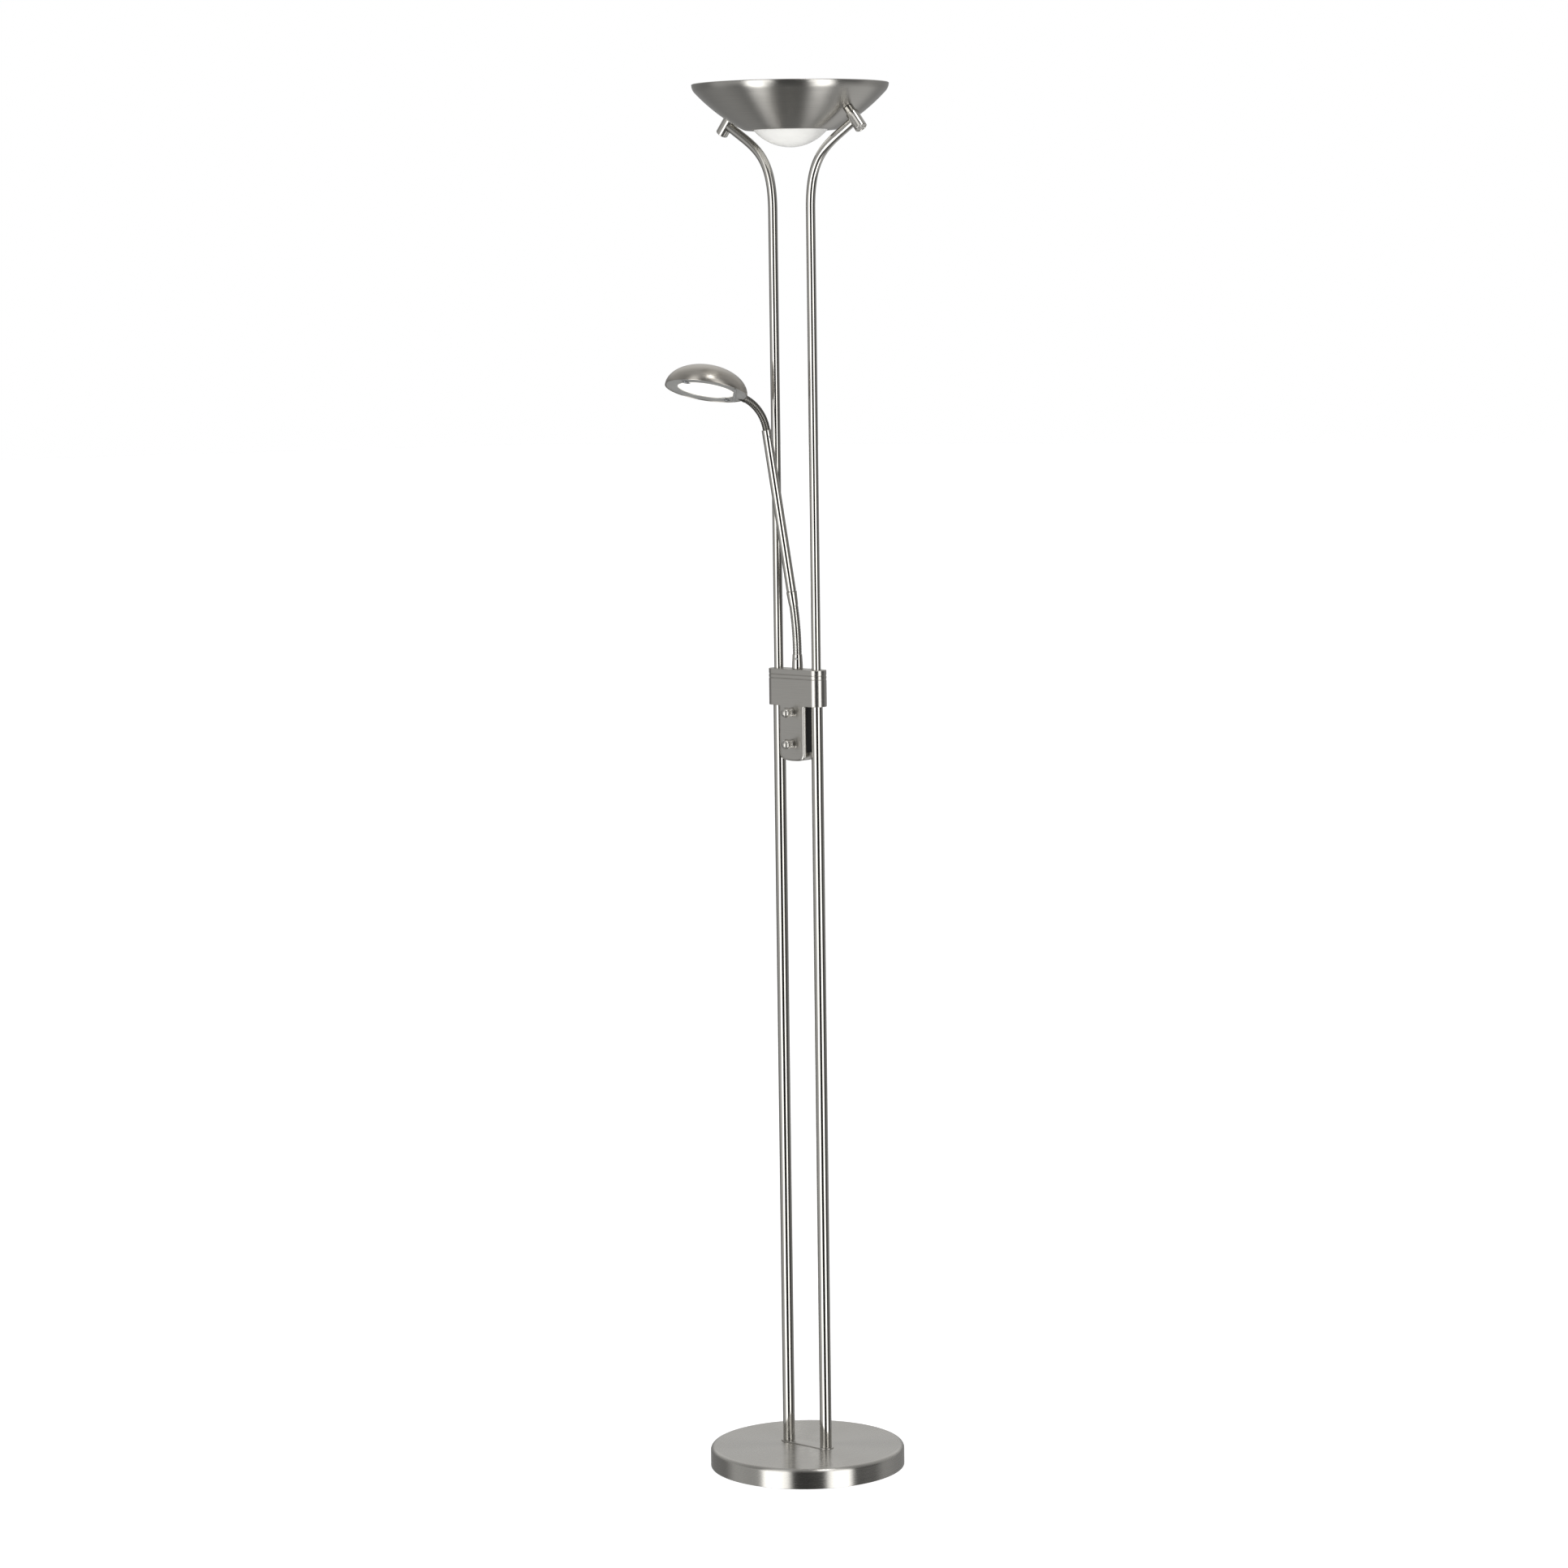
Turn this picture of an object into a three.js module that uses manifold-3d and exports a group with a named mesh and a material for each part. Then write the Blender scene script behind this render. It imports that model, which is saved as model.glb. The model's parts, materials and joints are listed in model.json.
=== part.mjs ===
// Torchiere floor lamp: a round weighted base, twin poles, an uplighter bowl with a
// glass dish, a collar with two rotary dimmers, and a reading head on a flexible arm.
//
// Millimetres, +Z up. The origin is the centre of the base on the floor, +X points
// from one pole to the other, and the dimmers face -Y.
import * as THREE from 'three';
import { mergeVertices } from 'three/addons/utils/BufferGeometryUtils.js';
import Module from 'manifold-3d';

const wasm = await Module();
wasm.setup();

// ---------------------------------------------------------------- dimensions
const GAP = 0.3;                    // clearance between neighbouring pieces
const SHEET = 1.2;                  // steel sheet of the base cover and brackets
const FINE = 36;                    // sides of the large round pieces
const MEDIUM = 24;
const SMALL = 12;

const BASE = { radius: 127.5, top: 27, edge: 5.5, skirt: 0.6 };
const PAD = { radius: 122, top: 3 };
const WEIGHT = { radius: 119, top: 25.5, pocket: 13, pocketTop: 12, channel: 9 };
const INLET = { radius: 5.5, bore: 3.6, z: 9.5 };
const FOOT = { radius: 10.3, top: 28.2 };

const POLE_X = 32;                  // each pole from the middle of the lamp
const LOWER = { radius: 7.75, bore: 6.55, insert: 5.3, insertTop: 48, top: 1016 };
const UPPER = { radius: 6, bore: 5, bottom: 1026, bendStart: 1640 };
const BOLT = { radius: 5, bore: 3.2, head: 9.5, headBottom: 5, headTop: 11.7, top: 44 };

const COLLAR = { radius: 13.1, wall: 1.6, bottom: 1004.7, top: 1052, roof: 2 };
const GROOVE = { depth: 0.5, width: 1.3, drops: [7, 12] };
const TONGUE = { half: 21.3, bottom: 933, sag: 9, flange: 4.4 };
const CLAMP = { bottom: 1007.5, top: 1011.5 };
const DIMMER_Z = { upper: 997, lower: 956 };
const DIMMER = { wall: 1.5, bushing: 3.5, shaft: 1.5, barrel: 5.7, ball: 6.5, reach: 11 };

const ARM_HEADING = deg(-114);      // plan direction of the arm, from +X
const ARM_LEAN = deg(8.8);          // the rigid tube, from vertical
const SOCKET = { bottom: 1052.3, top: 1071, low: 6.8, high: 5.75, stem: 4 };
const HOSE_LOW = { radius: 5.8, ball: 4.4, gap: 0.9, bore: 1.9, count: 5 };
const HOSE_TOP = { radius: 4.85, ball: 3.5, gap: 0.8, bore: 1.4, count: 5 };
const CUP_CLEARANCE = 0.7;          // of a ball in the cup that turns on it
const FERRULE = { z: 1134, length: 19.5, low: 5.7, high: 6.8 };
const TUBE = { radius: 6.3, bore: 5.3, mouthX: 39.5, mouthZ: 1361 };

const HEAD = { x: 123.3, z: 1412.7, pitch: deg(14.8), roll: deg(9.8) };
const DOME = { rim: 53, height: 32, sheet: 1 };
const NECK = { radius: 5.2, reach: 58, drop: 2.5, wallHeight: 4.5, wallReach: 50 };
const BEZEL = { inner: 37, outer: 51.3, bottom: 0.2, top: 1.4 };
const LENS = { radius: 40, top: 4.2 };

const BOWL = { rim: 126, top: 1800, rimArc: 16, bodyArc: 235, turn: deg(43), sheet: 1 };
const LIP = { outer: 61, hole: 49.5 };
const GLASS = { sphere: 62, bottom: 1719.5, wall: 2.5, flange: 54, seat: 1743.3 };
const FITTING = { r: 97, spacer: 6.4, bore: 2.3, knob: 8, knobStart: 8.9, knobEnd: 33.6 };
const LAMP = { z: 1767, radius: 5.5, half: 57 };

function deg(angle) {
  return (angle * Math.PI) / 180;
}

// ---------------------------------------------------------------- solids
// Shared vertices become one, and triangles that a point on an axis leaves empty go.
function welded(geometry) {
  const bare = geometry.clone();
  bare.deleteAttribute('normal');
  bare.deleteAttribute('uv');
  const merged = mergeVertices(bare, 1e-4);
  const index = [];
  for (let i = 0; i < merged.index.count; i += 3) {
    const [a, b, c] = [0, 1, 2].map((k) => merged.index.getX(i + k));
    if (a !== b && b !== c && c !== a) index.push(a, b, c);
  }
  merged.setIndex(index);
  return merged;
}

// A closed geometry becomes a manifold solid, so that it can be joined and cut.
function solid(geometry) {
  const closed = welded(geometry);
  return new wasm.Manifold(new wasm.Mesh({
    numProp: 3,
    vertProperties: new Float32Array(closed.attributes.position.array),
    triVerts: new Uint32Array(closed.index.array),
  }));
}

function geometryOf(body) {
  const result = body.getMesh();
  const geometry = new THREE.BufferGeometry();
  geometry.setAttribute('position', new THREE.BufferAttribute(result.vertProperties, 3));
  geometry.setIndex(new THREE.BufferAttribute(result.triVerts, 1));
  return geometry;
}

function cut(geometry, ...tools) {
  return geometryOf(tools.reduce((body, tool) => body.subtract(solid(tool)), solid(geometry)));
}

function join(geometry, ...others) {
  return geometryOf(others.reduce((body, other) => body.add(solid(other)), solid(geometry)));
}

function common(geometry, other) {
  return geometryOf(solid(geometry).intersect(solid(other)));
}

// ---------------------------------------------------------------- shapes
function v2(x, y) {
  return new THREE.Vector2(x, y);
}

// Points of a round stretch of a profile, both ends included.
function arc(x, y, radius, from, to, steps) {
  return Array.from({ length: steps + 1 }, (_, i) => {
    const angle = from + ((to - from) * i) / steps;
    return v2(x + radius * Math.cos(angle), y + radius * Math.sin(angle));
  });
}

// A body turned about +Z from a profile of (radius, height) points given anticlockwise.
// A profile that meets the axis is opened there; any other closes on itself.
function turned(profile, sides = SMALL) {
  const onAxis = (p) => Math.abs(p.x) < 1e-6;
  const next = (i) => profile[(i + 1) % profile.length];
  const first = profile.findIndex((p, i) => onAxis(p) && !onAxis(next(i)));
  const points = [...profile.slice(Math.max(first, 0)), ...profile.slice(0, Math.max(first, 0))];
  if (first < 0) points.push(points[0].clone());
  const onto = points.map((p) => v2(onAxis(p) ? 0 : p.x, p.y));
  return new THREE.LatheGeometry(onto, sides).rotateX(Math.PI / 2);
}

function rod(radius, from, to, sides = SMALL) {
  return turned([v2(0, from), v2(radius, from), v2(radius, to), v2(0, to)], sides);
}

function ring(inner, outer, from, to, sides = SMALL) {
  return turned([v2(inner, from), v2(outer, from), v2(outer, to), v2(inner, to)], sides);
}

function block(x0, x1, y0, y1, z0, z1) {
  const box = new THREE.BoxGeometry(x1 - x0, y1 - y0, z1 - z0);
  return box.translate((x0 + x1) / 2, (y0 + y1) / 2, (z0 + z1) / 2);
}

function prism(shape, from, to, curveSegments = 5) {
  const options = { depth: to - from, bevelEnabled: false, curveSegments };
  return new THREE.ExtrudeGeometry(shape, options).translate(0, 0, from);
}

// A plan outline with straight sides along X and a half circle round each pole.
function stadium(radius, half = POLE_X) {
  const shape = new THREE.Shape();
  shape.absarc(half, 0, radius, -Math.PI / 2, Math.PI / 2, false);
  shape.absarc(-half, 0, radius, Math.PI / 2, (3 * Math.PI) / 2, false);
  shape.closePath();
  return shape;
}

// Moves a piece made along +Z so that it starts at a point and runs in a direction.
function aimed(geometry, start, direction) {
  const up = new THREE.Vector3(0, 0, 1);
  const turn = new THREE.Quaternion().setFromUnitVectors(up, direction.clone().normalize());
  return geometry.applyQuaternion(turn).translate(start.x, start.y, start.z);
}

function v3(x, y, z) {
  return new THREE.Vector3(x, y, z);
}

// ---------------------------------------------------------------- finishes
const FINISHES = {
  nickel: { color: 0x8d8a82, roughness: 0.32, metalness: 1 },
  steel: { color: 0x9a9a98, roughness: 0.4, metalness: 1 },
  iron: { color: 0x4a4a4a, roughness: 0.8, metalness: 0.6 },
  rubber: { color: 0x1b1b1b, roughness: 0.8, metalness: 0 },
  plastic: { color: 0x111111, roughness: 0.5, metalness: 0 },
  grey: { color: 0x8c8c86, roughness: 0.5, metalness: 0.3 },
  glass: { color: 0xf1f0ea, roughness: 0.3, metalness: 0 },
  ceramic: { color: 0xe8e4da, roughness: 0.6, metalness: 0 },
  reflector: { color: 0xd8d8d8, roughness: 0.2, metalness: 1 },
};

const lamp = new THREE.Group();
const arm = new THREE.Group();
const head = new THREE.Group();
arm.rotation.z = ARM_HEADING;
head.position.set(HEAD.x, 0, HEAD.z);
head.rotation.order = 'YXZ';
head.rotation.set(HEAD.roll, -HEAD.pitch, 0);
arm.add(head);
lamp.add(arm);

function put(name, geometry, finish, group = lamp) {
  const mesh = new THREE.Mesh(geometry, new THREE.MeshStandardMaterial(FINISHES[finish]));
  mesh.name = name;
  group.add(mesh);
}

const SIDES = { left: -1, right: 1 };

// ---------------------------------------------------------------- base
function baseCover() {
  const { radius, top, edge, skirt } = BASE;
  const quarter = Math.PI / 2;
  return turned([
    v2(radius - SHEET, skirt), v2(radius, skirt),
    ...arc(radius - edge, top - edge, edge, 0, quarter, 3), v2(0, top),
    v2(0, top - SHEET), ...arc(radius - edge, top - edge, edge - SHEET, quarter, 0, 2),
  ], FINE);
}

function coverWithHoles() {
  const holes = Object.values(SIDES).map((side) => (
    rod(BOLT.radius + GAP, BASE.top - 5, BASE.top + 5).translate(side * POLE_X, 0, 0)));
  const inlet = aimed(
    rod(INLET.radius, 0, 20), v3(0, BASE.radius - 10, INLET.z), v3(0, 1, 0));
  return cut(baseCover(), ...holes, inlet);
}

function baseWeight() {
  const disc = rod(WEIGHT.radius, PAD.top + GAP, WEIGHT.top, MEDIUM);
  const { pocket, pocketTop, channel } = WEIGHT;
  const bores = Object.values(SIDES).flatMap((side) => [
    rod(BOLT.radius + GAP, 0, 40).translate(side * POLE_X, 0, 0),
    rod(pocket, 0, pocketTop).translate(side * POLE_X, 0, 0),
  ]);
  const across = block(-POLE_X, POLE_X, -channel / 2, channel / 2, 0, pocketTop);
  const rearward = block(-channel / 2, channel / 2, 0, WEIGHT.radius + 5, 0, pocketTop + 2);
  return cut(disc, ...bores, across, rearward);
}

function inletGrommet() {
  const { radius, bore, z } = INLET;
  const outer = radius + 2.2;
  const neck = radius - GAP;
  const profile = [
    v2(bore, -4), v2(outer, -4), v2(outer, -2.2), v2(neck, -2.2),
    v2(neck, 0.7), v2(outer, 0.7), v2(outer - 1.4, 3), v2(bore, 3),
  ];
  return aimed(turned(profile), v3(0, BASE.radius, z), v3(0, 1, 0));
}

function footPlate() {
  const shape = stadium(FOOT.radius);
  for (const side of Object.values(SIDES)) {
    const hole = new THREE.Path();
    hole.absarc(side * POLE_X, 0, BOLT.radius + GAP, 0, 2 * Math.PI, true);
    shape.holes.push(hole);
  }
  return prism(shape, BASE.top + 0.05, FOOT.top);
}

// A hollow bolt comes up from the weight into the foot of each pole.
function poleBolt(side) {
  const { radius, bore, head: across, headBottom, headTop, top } = BOLT;
  const hex = ring(bore, across, headBottom, headTop, 6);
  const shank = ring(bore, radius, headTop - 1, top);
  return join(hex, shank).translate(side * POLE_X, 0, 0);
}

function lowerPole(side) {
  const { radius, bore, insert, insertTop, top } = LOWER;
  const foot = FOOT.top + 0.05;
  const profile = [
    v2(insert, foot), v2(radius, foot), v2(radius, top), v2(bore, top),
    v2(bore, insertTop), v2(insert, insertTop),
  ];
  return turned(profile, 16).translate(side * POLE_X, 0, 0);
}

// ---------------------------------------------------------------- bowl
// The bowl's outer profile is a large arc that meets a small one under the rim.
const RIM_CENTRE = v2(BOWL.rim - BOWL.rimArc, BOWL.top);
const BODY_CENTRE = v2(
  RIM_CENTRE.x - (BOWL.bodyArc - BOWL.rimArc) * Math.cos(BOWL.turn),
  RIM_CENTRE.y + (BOWL.bodyArc - BOWL.rimArc) * Math.sin(BOWL.turn),
);

function bowlAngle(r) {
  return Math.acos((r - BODY_CENTRE.x) / BOWL.bodyArc);
}

function bowlPoint(r) {
  return v2(r, BODY_CENTRE.y - BOWL.bodyArc * Math.sin(bowlAngle(r)));
}

function bowlArcs(inset) {
  const lip = bowlAngle(LIP.outer);
  const body = BOWL.bodyArc - inset;
  const rim = BOWL.rimArc - inset;
  return [
    ...arc(BODY_CENTRE.x, BODY_CENTRE.y, body, -lip, -BOWL.turn, 5),
    ...arc(RIM_CENTRE.x, RIM_CENTRE.y, rim, -BOWL.turn, 0, 3).slice(1),
  ];
}

function bowlShell() {
  const outer = bowlArcs(0);
  const inner = bowlArcs(BOWL.sheet).reverse();
  const lipZ = outer[0].y - 1;
  const profile = [
    v2(LIP.hole, lipZ), v2(LIP.outer - 3.5, lipZ), ...outer, ...inner,
    v2(LIP.outer - 4, lipZ + BOWL.sheet), v2(LIP.hole, lipZ + BOWL.sheet),
  ];
  const holes = Object.values(SIDES).map((side) => {
    const { start, direction } = fittingAxis(side);
    return aimed(rod(FITTING.bore, -6, 6), start, direction);
  });
  return cut(turned(profile, FINE), ...holes);
}

function glassDish() {
  const { sphere, bottom, wall, flange, seat } = GLASS;
  const centre = bottom + sphere;
  const edge = Math.asin((centre - seat) / sphere);
  const inner = sphere - wall;
  const shoulder = seat + wall;
  const innerEdge = Math.asin((centre - shoulder) / inner);
  const profile = [
    ...arc(0, centre, sphere, -Math.PI / 2, -edge, 4),
    v2(flange, seat), v2(flange, shoulder),
    ...arc(0, centre, inner, -innerEdge, -Math.PI / 2, 4),
  ];
  return turned(profile, MEDIUM);
}

// Each fitting stands square to the bowl's surface, in the plane of the poles.
function fittingAxis(side) {
  const angle = bowlAngle(FITTING.r);
  const point = bowlPoint(FITTING.r);
  return {
    start: v3(side * point.x, 0, point.y),
    direction: v3(side * Math.cos(angle), 0, -Math.sin(angle)),
  };
}

function bowlSpacer(side) {
  const { start, direction } = fittingAxis(side);
  const sleeve = ring(FITTING.bore, FITTING.spacer, 0.4, FITTING.knobStart - GAP);
  return aimed(sleeve, start, direction);
}

function bowlBolt(side) {
  const { start, direction } = fittingAxis(side);
  const under = -BOWL.sheet - 2 * GAP;
  const profile = [
    v2(0, under - 2.6), v2(3, under - 2.4), v2(4.4, under - 1), v2(4.4, under),
    v2(2, under), v2(2, 12), v2(0, 12),
  ];
  return aimed(turned(profile), start, direction);
}

function bowlKnob(side) {
  const { knob, knobStart, knobEnd, bore } = FITTING;
  const { start, direction } = fittingAxis(side);
  const profile = [
    v2(bore, knobStart), v2(knob - 0.8, knobStart), v2(knob, knobStart + 0.8),
    v2(knob, knobEnd - 0.8), v2(knob - 0.8, knobEnd), v2(0, knobEnd), v2(0, 13), v2(bore, 13),
  ];
  const barrel = aimed(turned(profile, 16), start, direction);
  const route = new UpperRoute(side);
  const end = route.getPoint(1);
  const along = route.getTangent(1);
  const socket = aimed(rod(UPPER.radius + GAP, -20, GAP, 16), end, along);
  return cut(barrel, socket);
}

// ---------------------------------------------------------------- upper poles
// Straight up from the collar, then one sweep outwards to the fitting on the bowl.
class UpperRoute extends THREE.Curve {
  constructor(side) {
    super();
    const lean = deg(56);
    const end = v3(side * 109, 0, 1752);
    const back = v3(-side * 55 * Math.sin(lean), 0, -55 * Math.cos(lean));
    this.start = v3(side * POLE_X, 0, UPPER.bottom);
    this.bend = new THREE.CubicBezierCurve3(
      v3(side * POLE_X, 0, UPPER.bendStart),
      v3(side * POLE_X, 0, UPPER.bendStart + 75),
      end.clone().add(back),
      end,
    );
    this.steps = 10;
  }

  // The first step covers the whole straight stretch.
  getPoint(t) {
    const step = t * this.steps;
    if (step <= 1) return this.start.clone().lerp(this.bend.getPoint(0), step);
    return this.bend.getPoint((step - 1) / (this.steps - 1));
  }

  getTangent(t) {
    const step = t * this.steps;
    return step <= 1 ? v3(0, 0, 1) : this.bend.getTangent((step - 1) / (this.steps - 1));
  }

  getPointAt(u) {
    return this.getPoint(u);
  }

  getTangentAt(u) {
    return this.getTangent(u);
  }
}

function upperPole(side) {
  const section = new THREE.Shape();
  section.absarc(0, 0, UPPER.radius, 0, 2 * Math.PI, false);
  const hole = new THREE.Path();
  hole.absarc(0, 0, UPPER.bore, 0, 2 * Math.PI, true);
  section.holes.push(hole);
  const extrudePath = new UpperRoute(side);
  return new THREE.ExtrudeGeometry(section, {
    steps: extrudePath.steps, extrudePath, curveSegments: 7, bevelEnabled: false,
  });
}

// ---------------------------------------------------------------- collar
// Half of the collar: a stadium shell closed on top, with a tongue that hangs down in
// front of the dimmers. The shell is made facing -Y; the rear one is turned round.
function tongueOutline(inset, top) {
  const half = TONGUE.half - inset;
  const bottom = TONGUE.bottom + inset;
  const shoulder = bottom + TONGUE.sag;
  const shape = new THREE.Shape();
  shape.moveTo(-half, top);
  shape.lineTo(-half, shoulder);
  shape.bezierCurveTo(-half, bottom + 2, -half + 8, bottom, 0, bottom);
  shape.bezierCurveTo(half - 8, bottom, half, bottom + 2, half, shoulder);
  shape.lineTo(half, top);
  shape.closePath();
  return shape;
}

// An outline in X and Z, made solid from one depth to another along Y.
function slab(shape, from, to, curveSegments = 5) {
  return prism(shape, -to, -from, curveSegments).rotateX(Math.PI / 2);
}

function shellBlank() {
  const { radius, wall, bottom, top, roof } = COLLAR;
  const front = -radius;
  const collarOuter = prism(stadium(radius), bottom, top);
  const collarInner = prism(stadium(radius - wall), bottom - 1, top - roof);
  const tray = slab(tongueOutline(0, bottom + 6), front, -GAP / 2);
  const hollow = slab(tongueOutline(wall, bottom + 8), front + wall, 5);
  const opening = block(
    -TONGUE.half + wall, TONGUE.half - wall, front + wall, 5, bottom - 2, bottom + 10);
  const window = block(
    -TONGUE.half - 1, TONGUE.half + 1, front + TONGUE.flange, 5,
    TONGUE.bottom + TONGUE.sag + 3, bottom - 0.01);
  const body = cut(join(collarOuter, tray), collarInner, hollow, opening, window);
  const grooves = GROOVE.drops.map((drop) => {
    const low = top - drop - GROOVE.width / 2;
    const outer = prism(stadium(radius + 2), low, low + GROOVE.width);
    return cut(outer, prism(stadium(radius - GROOVE.depth), low - 1, low + 3));
  });
  const half = block(-60, 60, -radius - 1, -GAP / 2, TONGUE.bottom - 5, top + 5);
  return common(cut(body, ...grooves), half);
}

function collarHoles() {
  const poles = Object.values(SIDES).map((side) => (
    rod(UPPER.radius + GAP, COLLAR.top - 6, COLLAR.top + 3, 16).translate(side * POLE_X, 0, 0)));
  return [...poles, rod(SOCKET.stem + GAP, COLLAR.top - 6, COLLAR.top + 3)];
}

function alongY(radius, from, to, z, sides = SMALL) {
  return aimed(rod(radius, from, to, sides), v3(0, 0, z), v3(0, 1, 0));
}

function frontShell() {
  const knobs = Object.values(DIMMER_Z).map((z) => alongY(DIMMER.bushing + GAP, -20, -5, z));
  return cut(shellBlank(), ...collarHoles(), ...knobs);
}

function rearShell() {
  const screw = alongY(1.8, 5, 20, REAR_SCREW_Z);
  return cut(shellBlank().rotateZ(Math.PI), ...collarHoles(), screw);
}

const REAR_SCREW_Z = 1030;

// The screw draws the rear shell against a stud block on the clamp plate.
function collarScrew() {
  const face = COLLAR.radius + 0.1;
  const profile = [
    v2(0, 3), v2(1.5, 3), v2(1.5, face), v2(3, face), v2(2.6, face + 1.3), v2(0, face + 1.6)];
  return aimed(turned(profile), v3(0, 0, REAR_SCREW_Z), v3(0, 1, 0));
}

function clampPlate() {
  const plate = prism(stadium(COLLAR.radius - COLLAR.wall - GAP), CLAMP.bottom, CLAMP.top);
  const post = block(-6, 6, -5, 5, CLAMP.top - 1, REAR_SCREW_Z + 6);
  const poles = Object.values(SIDES).map((side) => (
    rod(LOWER.radius + GAP, CLAMP.bottom - 2, CLAMP.top + 2, 16).translate(side * POLE_X, 0, 0)));
  const thread = alongY(1.8, 1.5, 9, REAR_SCREW_Z);
  const slot = block(-15, -8, -5, 5, CLAMP.bottom - 1, CLAMP.top + 1);
  return cut(join(plate, post), ...poles, thread, slot);
}

// ---------------------------------------------------------------- dimmers
const BOX_DEPTH = COLLAR.radius - COLLAR.wall - GAP;

function dimmerBox() {
  const inset = COLLAR.wall + GAP;
  const top = COLLAR.bottom - 1;
  const { wall, bushing } = DIMMER;
  const outer = slab(tongueOutline(inset, top), -BOX_DEPTH, BOX_DEPTH);
  const hollow = slab(tongueOutline(inset + wall, top + 5), -BOX_DEPTH + wall, BOX_DEPTH - wall);
  const bushes = Object.values(DIMMER_Z).map((z) => alongY(bushing + GAP, -20, -5, z));
  return cut(outer, hollow, ...bushes);
}

function dimmerPot(z) {
  const face = -BOX_DEPTH + DIMMER.wall + GAP;
  const body = block(-7, 7, face, face + 9, z - 7, z + 5.5);
  const bush = alongY(DIMMER.bushing, -COLLAR.radius - 0.2, face + 1, z);
  return cut(join(body, bush), alongY(DIMMER.shaft + GAP, -30, face + 6, z));
}

function dimmerShaft(z) {
  return alongY(DIMMER.shaft, -COLLAR.radius - 9, -BOX_DEPTH + DIMMER.wall + 5, z, 8);
}

function dimmerKnob(z) {
  const { barrel, ball, reach, shaft } = DIMMER;
  const socketEnd = 9.3;
  const waist = Math.asin(4.6 / ball);
  const profile = [
    v2(0, socketEnd), v2(shaft + 0.05, socketEnd), v2(shaft + 0.05, 0.5),
    v2(barrel, 0.5), v2(barrel, 5),
    ...arc(0, reach, ball, waist - Math.PI / 2, Math.PI / 2, 6),
  ];
  return aimed(turned(profile, 14), v3(0, -COLLAR.radius, z), v3(0, -1, 0));
}

// ---------------------------------------------------------------- flexible arm
// Each hose is a chain of short links. A link has a ball on top and a cup below; both
// are centred on the points that the links turn about.
function ballEnd(hose, at) {
  const { ball, gap, bore } = hose;
  return arc(0, at, ball, Math.asin(-gap / ball), Math.acos(bore / ball), 2);
}

function cupEnd(hose) {
  const { gap, bore } = hose;
  const cup = hose.ball + CUP_CLEARANCE;
  return arc(0, 0, cup, Math.acos(bore / cup), Math.asin(gap / cup), 2);
}

function hoseLink(hose, length) {
  const { radius, gap } = hose;
  return turned([
    ...cupEnd(hose), v2(radius, gap), v2(radius, length - gap), ...ballEnd(hose, length),
  ], 10);
}

// The pivots of a hose lie evenly on the arc that leaves its start at a given heading
// and reaches its end. A heading is an angle from vertical in the plane of the arm.
function hosePivots(start, end, heading, count) {
  const chord = end.clone().sub(start);
  const halfTurn = Math.atan2(chord.x, chord.z) - heading;
  const radius = chord.length() / (2 * Math.sin(halfTurn));
  const centreX = start.x + radius * Math.cos(heading);
  const centreZ = start.z - radius * Math.sin(heading);
  return Array.from({ length: count + 1 }, (_, i) => {
    const angle = heading + (2 * halfTurn * i) / count;
    return v3(centreX - radius * Math.cos(angle), 0, centreZ + radius * Math.sin(angle));
  });
}

function putLinks(name, hose, pivots) {
  for (let i = 0; i < hose.count; i += 1) {
    const along = pivots[i + 1].clone().sub(pivots[i]);
    const link = aimed(hoseLink(hose, along.length()), pivots[i], along);
    put(`${name}_${i + 1}`, link, 'steel', arm);
  }
}

const LEAN = v3(Math.sin(ARM_LEAN), 0, Math.cos(ARM_LEAN));
const MOUTH = v3(TUBE.mouthX, 0, TUBE.mouthZ);
const TUBE_LENGTH = (TUBE.mouthZ - FERRULE.z) / Math.cos(ARM_LEAN);
const FERRULE_START = MOUTH.clone().addScaledVector(LEAN, -TUBE_LENGTH);

function armSocket() {
  const { bottom, top, low, high, stem } = SOCKET;
  const { bore } = HOSE_LOW;
  const pivot = SOCKET.top + HOSE_LOW.gap;
  const profile = [
    v2(bore, COLLAR.top - 7), v2(stem, COLLAR.top - 7), v2(stem, bottom - 0.02),
    v2(low, bottom), v2(low, bottom + 6), v2(high, top), ...ballEnd(HOSE_LOW, pivot),
  ];
  const hole = aimed(rod(1.6, 0, 12, 8), v3(0, 0, SOCKET_SCREW.z), SOCKET_SCREW.direction);
  return cut(turned(profile, 16), hole);
}

const SOCKET_SCREW = { z: 1065.5, direction: v3(Math.sin(deg(29)), -Math.cos(deg(29)), 0) };

function socketScrew() {
  const screw = rod(1.3, 2.6, 6.7, 8);
  return aimed(screw, v3(0, 0, SOCKET_SCREW.z), SOCKET_SCREW.direction);
}

function armFerrule() {
  const { low, high, length } = FERRULE;
  const { gap } = HOSE_LOW;
  const spigot = TUBE.bore - GAP;
  const profile = [
    ...cupEnd(HOSE_LOW), v2(low, gap), v2(high, length), v2(spigot, length),
    v2(spigot, length + 12), v2(HOSE_LOW.bore, length + 12),
  ];
  return aimed(turned(profile, 16), FERRULE_START, LEAN);
}

const TUBE_SCREW_AT = 9;            // below the mouth of the tube

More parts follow.
